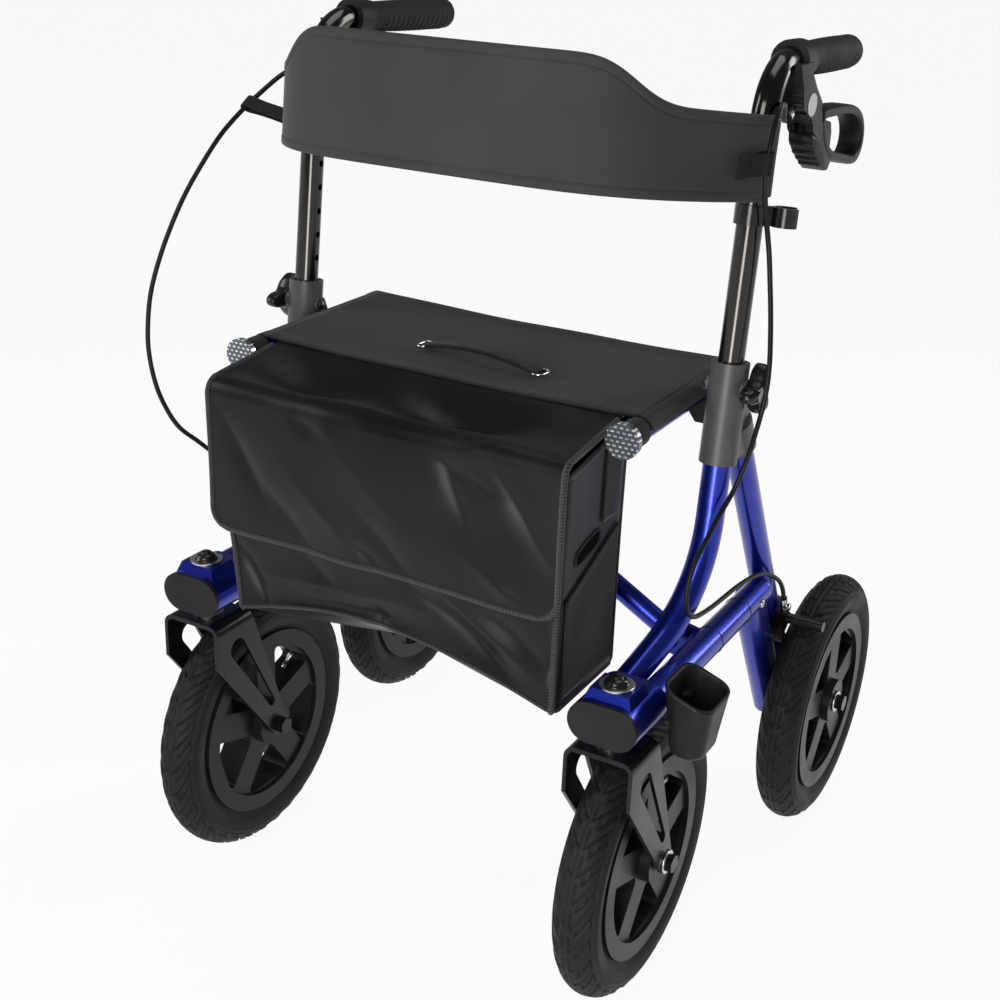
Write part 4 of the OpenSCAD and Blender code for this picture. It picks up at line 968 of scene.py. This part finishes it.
# Ends in X and Z on the front, depth of the valley (less than zero for a ridge), width
creases = [
    ((-160, 372), (70, 390), 8, 11), ((-160, 398), (50, 412), -7, 12), ((20, 442), (160, 360), 10, 11),
    ((52, 446), (185, 370), -7, 11), ((-8, 402), (6, 346), 6, 8), ((-188, 436), (-146, 352), 7, 10),
    ((100, 436), (190, 388), 5, 10), ((-120, 446), (-50, 406), 5, 12),
]


creaseEdge, creaseReach = 1.5, 0.38


def creased(x, z, lines):
    # Valleys along lines, sharp at the line and falling off to both sides, deepest halfway along
    total = np.zeros(np.broadcast(x, z).shape)
    for a, b, depth, width in lines:
        a, b = np.array(a, float), np.array(b, float)
        v = b - a
        t = ((x - a[0]) * v[0] + (z - a[1]) * v[1]) / (v @ v)
        off = ((x - a[0]) * v[1] - (z - a[1]) * v[0]) / np.linalg.norm(v)
        across = np.exp((creaseEdge - np.hypot(off, creaseEdge)) / width)
        total = total - depth * across * np.exp(-(((t - 0.5) / creaseReach) ** 2))
    return total


def pulledIn(points):
    # The lower a point and the nearer it is to the -X side, the further it moves in
    points = np.array(points, float)
    share = clamped((points[..., 2] - bag["low"]) / (bag["top"] - bag["low"]))
    points[..., 0] += bag["pull"] * (1 - share) ** 1.3 * clamped(-points[..., 0] / bag["halfX"]) ** 1.5
    return points


def bagRings(v):
    # The outer wall from its rounded foot to the rim, moved out by bulge and creases; the whole shell is the
    # inner floor, the inner wall, the outer wall down again and the sagging floor below
    flat, out = softRect(v["halfX"], v["halfY"], v["corner"], v["around"])
    height, foot = v["top"] - v["low"], np.linspace(0, np.pi / 2, 7)
    rise = np.concatenate([v["round"] * (1 - np.cos(foot)),
                           np.linspace(v["round"] + v["footStep"], height, v["rows"])])
    tuck = np.concatenate([v["round"] * (1 - np.sin(foot)), np.zeros(v["rows"])])
    share = (rise / height)[:, None]
    x = flat[:, 0][None, :]
    u = x / v["halfX"]
    ahead = clamped(0.5 - flat[:, 1] / (2 * v["halfY"]))[None, :]
    lowest = v["low"] - v["tilt"] * u + v["arch"] * np.cos(np.pi / 2 * np.clip(u, -1, 1)) * ahead**3
    z = lowest + share * (v["top"] - v["fall"] * ahead - lowest)
    front = clamped(-out[:, 1])[None, :]
    belly = np.sin(np.pi * clamped(share)) ** 0.8
    level = clamped(1 - u**4)
    puff = v["bulge"] * front * belly * level - v["sidePull"] * np.abs(out[:, 0])[None, :] * belly
    puff = puff - v["hollow"] * front * np.exp(-(((z - v["hollowZ"]) / v["hollowReach"]) ** 2)) * level
    puff = puff + creased(x, z, creases) * front * clamped(rise[:, None] / v["creaseFade"])
    puff = puff + v["ripple"] * rippled(x, z, v["waves"]) * front * belly
    rings = np.empty((len(rise), v["around"], 3))
    rings[..., :2] = flat[None] + out[None] * (puff - tuck[:, None])[..., None] + (0, v["midY"])
    rings[..., 2] = z
    inner = rings.copy()
    inner[..., :2] -= out[None] * v["wall"]
    inner[..., 2] = np.maximum(inner[..., 2], lowest + v["wall"])
    shrink = np.linspace(*v["floorShares"], 12)[:, None]
    middle = np.array([0, v["midY"], v["low"]])
    under = middle + (rings[0] - middle)[None] * shrink[..., None]
    under[..., 2] -= v["sag"] * (1 - shrink**2)
    innerFloor = under[::-1].copy()
    innerFloor[..., 2] += v["wall"]
    innerFloor[..., :2] = (innerFloor[..., :2] - middle[:2]) * v["innerShare"] + middle[:2]
    return pulledIn(rings), pulledIn(np.concatenate([innerFloor, inner, rings[::-1], under]))


bagWall, bagShell = bagRings(bag)
bagPiece = addPiece("bagShell", [lofted(bagShell)], "bagCloth", "bag", fold=bagFold)
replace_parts(bagPiece, "bag_body")

# Twisted cord up the bag's four corners, round its rim and round its foot
piping = {"corner": 3.0, "rim": 2.6, "foot": 2.0, "out": 0.8, "inset": 4, "footRow": 4, "fromRow": 3}
bagFlat, bagOut = softRect(bag["halfX"], bag["halfY"], bag["corner"], bag["around"])
pipingParts = []
for sx, sy in ((-1, -1), (-1, 1), (1, -1), (1, 1)):
    corner = np.array([sx * (bag["halfX"] - piping["inset"]), sy * (bag["halfY"] - piping["inset"])])
    column = np.argmin(((bagFlat - corner) ** 2).sum(1))
    line = bagWall[piping["fromRow"]:, column] + np.array([*bagOut[column], 0]) * piping["out"]
    pipingParts.append(cordPart(line, piping["corner"]))
pipingParts.append(cordPart(bagWall[-1], piping["rim"], alongZ, closed=True))
pipingParts.append(cordPart(bagWall[piping["footRow"]], piping["foot"], alongZ, closed=True))
addPiece("bagPiping", pipingParts, "edgeCord", "bag", uvs=cordMap(pipingParts, 10), fold=bagFold)

# On each side of the bag: a mesh pocket under a sloping hem, a hand slot whose opening is a near-black sheet
# of painted shade, and webbing with a loop on the rail
pocket = {
    "front": -300, "rear": -198, "frontTop": 453, "rearTop": 497, "low": 358, "out": 1.6, "thick": 0.9,
    "puff": 2.2, "hemWidth": 8, "hemThick": 2.0, "hemOut": 0.4,
}
slot = {
    "y": -261, "z": 496, "half": 24, "tall": 8.5, "slope": 0.22, "out": 0.5, "binding": 1.3,
    "bindingOut": 0.3, "depth": 1.5,
}
webbing = {
    "y": -224, "width": 25, "low": 512, "high": 590, "out": 2.2, "thick": 1.8, "loopRadius": 12.6,
    "loopTurn": (195, -150),
}


def sideSurface(z):
    # Where the bag's side wall stands, with its pull-in between rim and foot
    share = clamped((z - bag["low"]) / (bag["top"] - bag["low"]))
    return bag["halfX"] - bag["sidePull"] * np.sin(np.pi * share) ** 0.8


def pocketParts(p):
    # A grid from the foot to the sloping hem, puffed out in its middle
    y = np.linspace(p["front"], p["rear"], 30)[:, None]
    top = p["frontTop"] + (y - p["front"]) / (p["rear"] - p["front"]) * (p["rearTop"] - p["frontTop"])
    z = p["low"] + (top - p["low"]) * np.linspace(0, 1, 28)[None, :]
    along, up = np.linspace(0, 1, 30), np.linspace(0, 0.95, 28)
    puff = p["puff"] * np.outer(np.sin(np.pi * along), np.sin(np.pi * up))
    grid = gridOf(sideSurface(z) + p["out"] + puff, y, z)
    return grid, sheetPart(grid, np.array(alongX, float), np.full(grid.shape[:2], p["thick"] / 2))


def slotRing(v):
    # A soft oval on the side wall, sloping up to the rear
    oval = softProfile(2 * v["half"], 2 * v["tall"], 3.2, 40)
    z = v["z"] + oval[:, 1] + v["slope"] * oval[:, 0]
    return np.column_stack([sideSurface(z) + v["out"], v["y"] + oval[:, 0], z])


def addBagPair(name, part, matName):
    # A piece on both side walls, which follows the lean of the one on -X
    for side, s in sides.items():
        parts = [(pulledIn(p), f, fans) for p, f, fans in mirrored([part], s)]
        addPiece(f"{name}.{side}", parts, matName, "bag", fold=bagFold)


pocketGrid, pocketSheet = pocketParts(pocket)
addBagPair("meshPocket", pocketSheet, "meshCloth")
hemProfile = softProfile(pocket["hemWidth"], pocket["hemThick"], 5, 16)
hemLine = pocketGrid[:, -1] + (pocket["hemOut"], 0, 0)
addBagPair("pocketHem", band(hemLine, hemProfile, (0, -0.4, 1)), "webbing")
ring = slotRing(slot)
slotMiddle = ring.mean(0)
# The slot's opening is a near-black oval sheet with a short rim into the wall: painted shade standing for the
# bag's dark inside
dark = np.array([ring - (slot["depth"], 0, 0), ring, (ring - slotMiddle) * (1, 0.5, 0.5) + slotMiddle])
addBagPair("handSlot", lofted(dark), "darkInside")
bindingLine = ring + (slot["bindingOut"], 0, 0)
addBagPair("slotBinding", cordPart(bindingLine, slot["binding"], count=8, closed=True), "webbing")
z = np.linspace(webbing["low"], webbing["high"], 20)
line = np.column_stack([sideSurface(z) + webbing["out"], np.full(20, webbing["y"]), z])
webProfile = softProfile(webbing["width"], webbing["thick"], 7, 20)
addBagPair("sideWebbing", band(line, webProfile, alongY), "webbing")
turn = np.radians(np.linspace(*webbing["loopTurn"], 40))
loopX, loopZ = webbing["loopRadius"] * np.cos(turn), webbing["loopRadius"] * np.sin(turn)
loop = np.column_stack([seat["railX"] + loopX, np.full(40, webbing["y"]), seat["railZ"] + loopZ])
wrap = band(loop, webProfile, alongY)
addPiece("railLoop.left", [wrap], "webbing", "bag")
addPiece("railLoop.right", mirrored([wrap], -1), "webbing", "left_brace")
print("bag")

# Flap: one sheet from the seat's front edge over the bag and down its front, corded along its free edges
flap = {
    "halfX": 194.4, "hingeY": -203.3, "frontY": -315.5, "topZ": 604, "low": 443, "bend": 13, "corner": 20,
    "half": 1.1, "bulge": 8.0, "fall": 11, "dip": 22, "least": -2.2, "lift": 1.2, "ripple": 1.1,
    "cord": 3.1, "bunch": 0.96, "creaseFade": 30, "rippleFade": 40, "waves": (23, 31), "dipSwing": 0.3,
    "dipWave": 29,
}
flapCreases = [
    ((-182, 570), (-110, 460), 6, 14), ((-70, 590), (40, 490), -4, 24), ((64, 592), (112, 500), 5, 11),
    ((120, 585), (188, 495), 5.5, 12), ((-130, 505), (-70, 440), 5.5, 12), ((-20, 505), (44, 440), 6, 13),
    ((-100, 530), (0, 440), -4, 16), ((-34, 474), (18, 434), 6, 8), ((100, 486), (176, 444), -4.5, 12),
    ((-96, 580), (-52, 566), 4, 7), ((66, 572), (136, 548), 5, 7),
]


def flapParts(v):
    # Down the sheet: along the top, which dips into the bag, round the bend at the front and down to the
    # lower edge, with round lower corners; creases begin at the bend
    top = v["hingeY"] - v["frontY"] - v["bend"]
    drop = v["topZ"] - v["fall"] - v["bend"] - v["low"]
    bend = v["bend"] * np.pi / 2
    d = np.concatenate([np.linspace(0, top, 34, endpoint=False), top + np.linspace(0, bend, 19)[:-1],
                        top + bend + np.linspace(0, drop, 60)])
    onTop = clamped(d / top)
    turn = np.clip((d - top) / v["bend"], 0, np.pi / 2)
    y = np.where(d < top, v["hingeY"] - d, v["hingeY"] - top - v["bend"] * np.sin(turn))
    z = v["topZ"] - v["fall"] * onTop**1.2 - v["bend"] * (1 - np.cos(turn)) - np.clip(d - top - bend, 0, None)
    out = np.stack([np.zeros(len(d)), -np.sin(turn), np.cos(turn)], -1)
    left = clamped((d - (d[-1] - v["corner"])) / v["corner"])
    halfX = v["halfX"] - v["corner"] * (1 - np.sqrt(np.clip(1 - left**2, 0.0004, 1)))
    quarter = np.pi / 2 * v["bunch"]
    u = (np.sin(np.linspace(-1, 1, 141) * quarter) / math.sin(quarter))[:, None]
    x = u * halfX
    level = 1 - u**4
    down = clamped((v["topZ"] - z) / (v["topZ"] - v["low"]))
    lift = v["bulge"] * np.sin(np.pi * down) * level
    folds = creased(x, np.broadcast_to(z, x.shape), flapCreases)
    lift = lift + folds * clamped((d - top) / v["creaseFade"])
    lift = lift + v["ripple"] * rippled(x, d, v["waves"]) * clamped(d / v["rippleFade"])
    dip = v["dip"] * np.sin(np.pi * onTop) ** 1.3 * level * (1 + v["dipSwing"] * np.sin(x / v["dipWave"]))
    lift = np.maximum(lift, v["least"]) - dip + v["lift"]
    grid = gridOf(x, y, z) + out * lift[..., None]
    return grid, np.broadcast_to(out, grid.shape)


flapGrid, flapOut = flapParts(flap)
flapSheet = sheetPart(flapGrid, flapOut, np.full(flapGrid.shape[:2], flap["half"]))
flapPiece = addPiece("bagFlap", [flapSheet], "bagCloth", "bag_flap", fold=bagFold)
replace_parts(flapPiece, "bag_flap")
hemPath = np.vstack([flapGrid[0, 4:], flapGrid[1:-1, -1], flapGrid[-1, 4:][::-1]])
flapCord = [cordPart(hemPath, flap["cord"], (0.001, -0.7, 0.71))]
addPiece("flapPiping", flapCord, "edgeCord", "bag_flap", uvs=cordMap(flapCord, 10), fold=bagFold)
print("flap")

# Cane cup: a tapered shell with a rounded foot, whose rim slopes down to the outer side, on a short arm
cup = {
    "x": 302, "y": -233, "low": 305, "tall": 75, "topHalf": (24.5, 32.5), "footHalf": (17, 25),
    "corner": 15, "wall": 2.6, "round": 9, "slope": 17,
    "arm": [(264, -213.5, 345), (290, -213.5, 345)], "armSize": (18, 20), "wallFrom": 0.2,
    "cornerShare": 0.8,
}


def cupParts(v):
    # Soft rectangles from foot to rim, drawn in by a quarter circle at the foot, and the same again inside
    turn = np.linspace(0, np.pi / 2, 7)
    share = np.concatenate([v["round"] * (1 - np.cos(turn)) / v["tall"], np.linspace(v["wallFrom"], 1, 16)])
    tuck = np.concatenate([v["round"] * (1 - np.sin(turn)), np.zeros(16)])
    top, foot = np.array(v["topHalf"]), np.array(v["footHalf"])
    walls = []
    for inset in (v["wall"], 0):
        for t, drawn in zip(share, tuck):
            half = foot + (top - foot) * t - inset - drawn
            flat, _ = softRect(*half, min(v["corner"], v["cornerShare"] * half.min()), 72)
            rise = v["tall"] - inset - v["slope"] * (1 + flat[:, 0] / top[0]) / 2
            walls.append(np.column_stack([flat + (v["x"], v["y"]), v["low"] + inset + t * rise]))
    inner, outer = np.array(walls[:len(share)]), np.array(walls[len(share):])
    arm = band(smoothLine(v["arm"], 4), softProfile(*v["armSize"], 6, 20), alongY)
    return [lofted(np.concatenate([inner, outer[::-1]])), arm]


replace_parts(addPiece("caneCup", cupParts(cup), "blackMoulding", "left_frame"), "cane_cup")

# Chrome barrel that ends the cable at the brake, two seams round the lower bar, and a screw in it
barrel = {
    "middle": (272, 102.3, 304.6), "way": (0, -0.52992, 0.84805),
    "stations": [-1, 0, 5, 5.3, 6, 6.3, 13, 13.3, 19, 19.6],
    "radii": [4.4, 6.2, 6.2, 4.4, 4.4, 5.6, 5.6, 4.4, 4.2, 3.2],
}
seams = {"x": 257, "z": 345, "radius": 15.1, "wire": 0.55, "places": (-92, -14)}
screw = {"middle": (271.6, 18, 345), "stations": [0, 1.6, 2.6], "radii": [4.6, 4.4, 3.0]}
seamRing = roundProfile(seams["radius"], 48) @ np.array([alongX, alongZ]) + (seams["x"], 0, seams["z"])
seamParts = [cordPart(seamRing + (0, y, 0), seams["wire"], alongY, 8, closed=True) for y in seams["places"]]
addPair("cableBarrel", spun(barrel, barrel["way"], 20), "chrome", "frame", smooth=False)
addPair("barSeams", seamParts, "blackGloss", "frame")
addPair("barScrew", spun(screw, alongX, 20), "zincSteel", "frame")
print("small things")

# Stage: a floor that shows white to the camera and in reflections, and is a plain pale surface to the lamps
floor = {"half": 30000, "color": 0.86, "glow": 0.93}
lamps = [
    {"name": "key", "place": (0.2, -2.7, 1.8), "aim": (0, 0, 0.45), "size": (1.2, 1.4), "power": 32},
    {"name": "strip", "place": (0.5, -1.65, 0.45), "aim": (0, 0, 0.5), "size": (0.5, 0.8), "power": 15},
    {"name": "fill", "place": (-2.1, -1.2, 1.5), "aim": (0, -0.1, 0.45), "size": (0.8, 1.6), "power": 20},
    {"name": "top", "place": (0.1, 0.4, 3.0), "aim": (0, 0, 0.4), "size": (1.6, 1.6), "power": 20},
    {"name": "rear", "place": (1.6, 1.9, 1.6), "aim": (0.1, 0.1, 0.5), "size": (0.6, 1.6), "power": 22},
]
ambient = 0.15


def addStage(v):
    # A share of its own glow is mixed in for rays that come from the camera, from gloss or through glass
    corners = np.array([(-1, -1, 0), (1, -1, 0), (1, 1, 0), (-1, 1, 0)])
    made = meshObject("paleFloor", corners * v["half"], [(0, 1, 2, 3)])
    mat = finish("paleFloor", (v["color"],) * 3, 0.9)
    rays = node(mat, "ShaderNodeLightPath").outputs
    seen = math2(mat, "ADD", rays["Is Camera Ray"], rays["Is Glossy Ray"])
    seen = math2(mat, "MINIMUM", math2(mat, "ADD", seen, rays["Is Transmission Ray"]), 1.0)
    mix = node(mat, "ShaderNodeMixShader", Fac=math2(mat, "MULTIPLY", seen, v["glow"]))
    join(mat, shaded(mat, {}).outputs["BSDF"], mix.inputs[1])
    join(mat, node(mat, "ShaderNodeEmission", Strength=1.0).outputs["Emission"], mix.inputs[2])
    join(mat, mix.outputs["Shader"], mat.node_tree.nodes["Material Output"].inputs["Surface"])
    made.data.materials.append(mat)


def addLamp(v):
    # A soft box at its place, turned to its aim
    name = v["name"] + "Softbox"
    data = bpy.data.lights.new(name, "AREA")
    data.shape, data.energy = "RECTANGLE", v["power"]
    data.size, data.size_y = v["size"]
    made = linked(name, data)
    made.visible_camera = False
    place = Vector(v["place"])
    turn = (Vector(v["aim"]) - place).to_track_quat("-Z", "Y").to_matrix().to_4x4()
    made.matrix_world = Matrix.Translation(place) @ turn


def addWorld(strength):
    # White to the camera, and a weak even light to everything else
    world = bpy.data.worlds.new("studio")
    bpy.context.scene.world = world
    world.use_nodes = True
    rays = node(world, "ShaderNodeLightPath").outputs
    pick = math2(world, "MAXIMUM", rays["Is Camera Ray"], strength)
    filled(world, world.node_tree.nodes["Background"], {"Color": (1, 1, 1, 1), "Strength": pick})


addStage(floor)
for lamp in lamps:
    addLamp(lamp)
addWorld(ambient)
bpy.context.scene.view_settings.view_transform = "Standard"
print("stage and lamps")
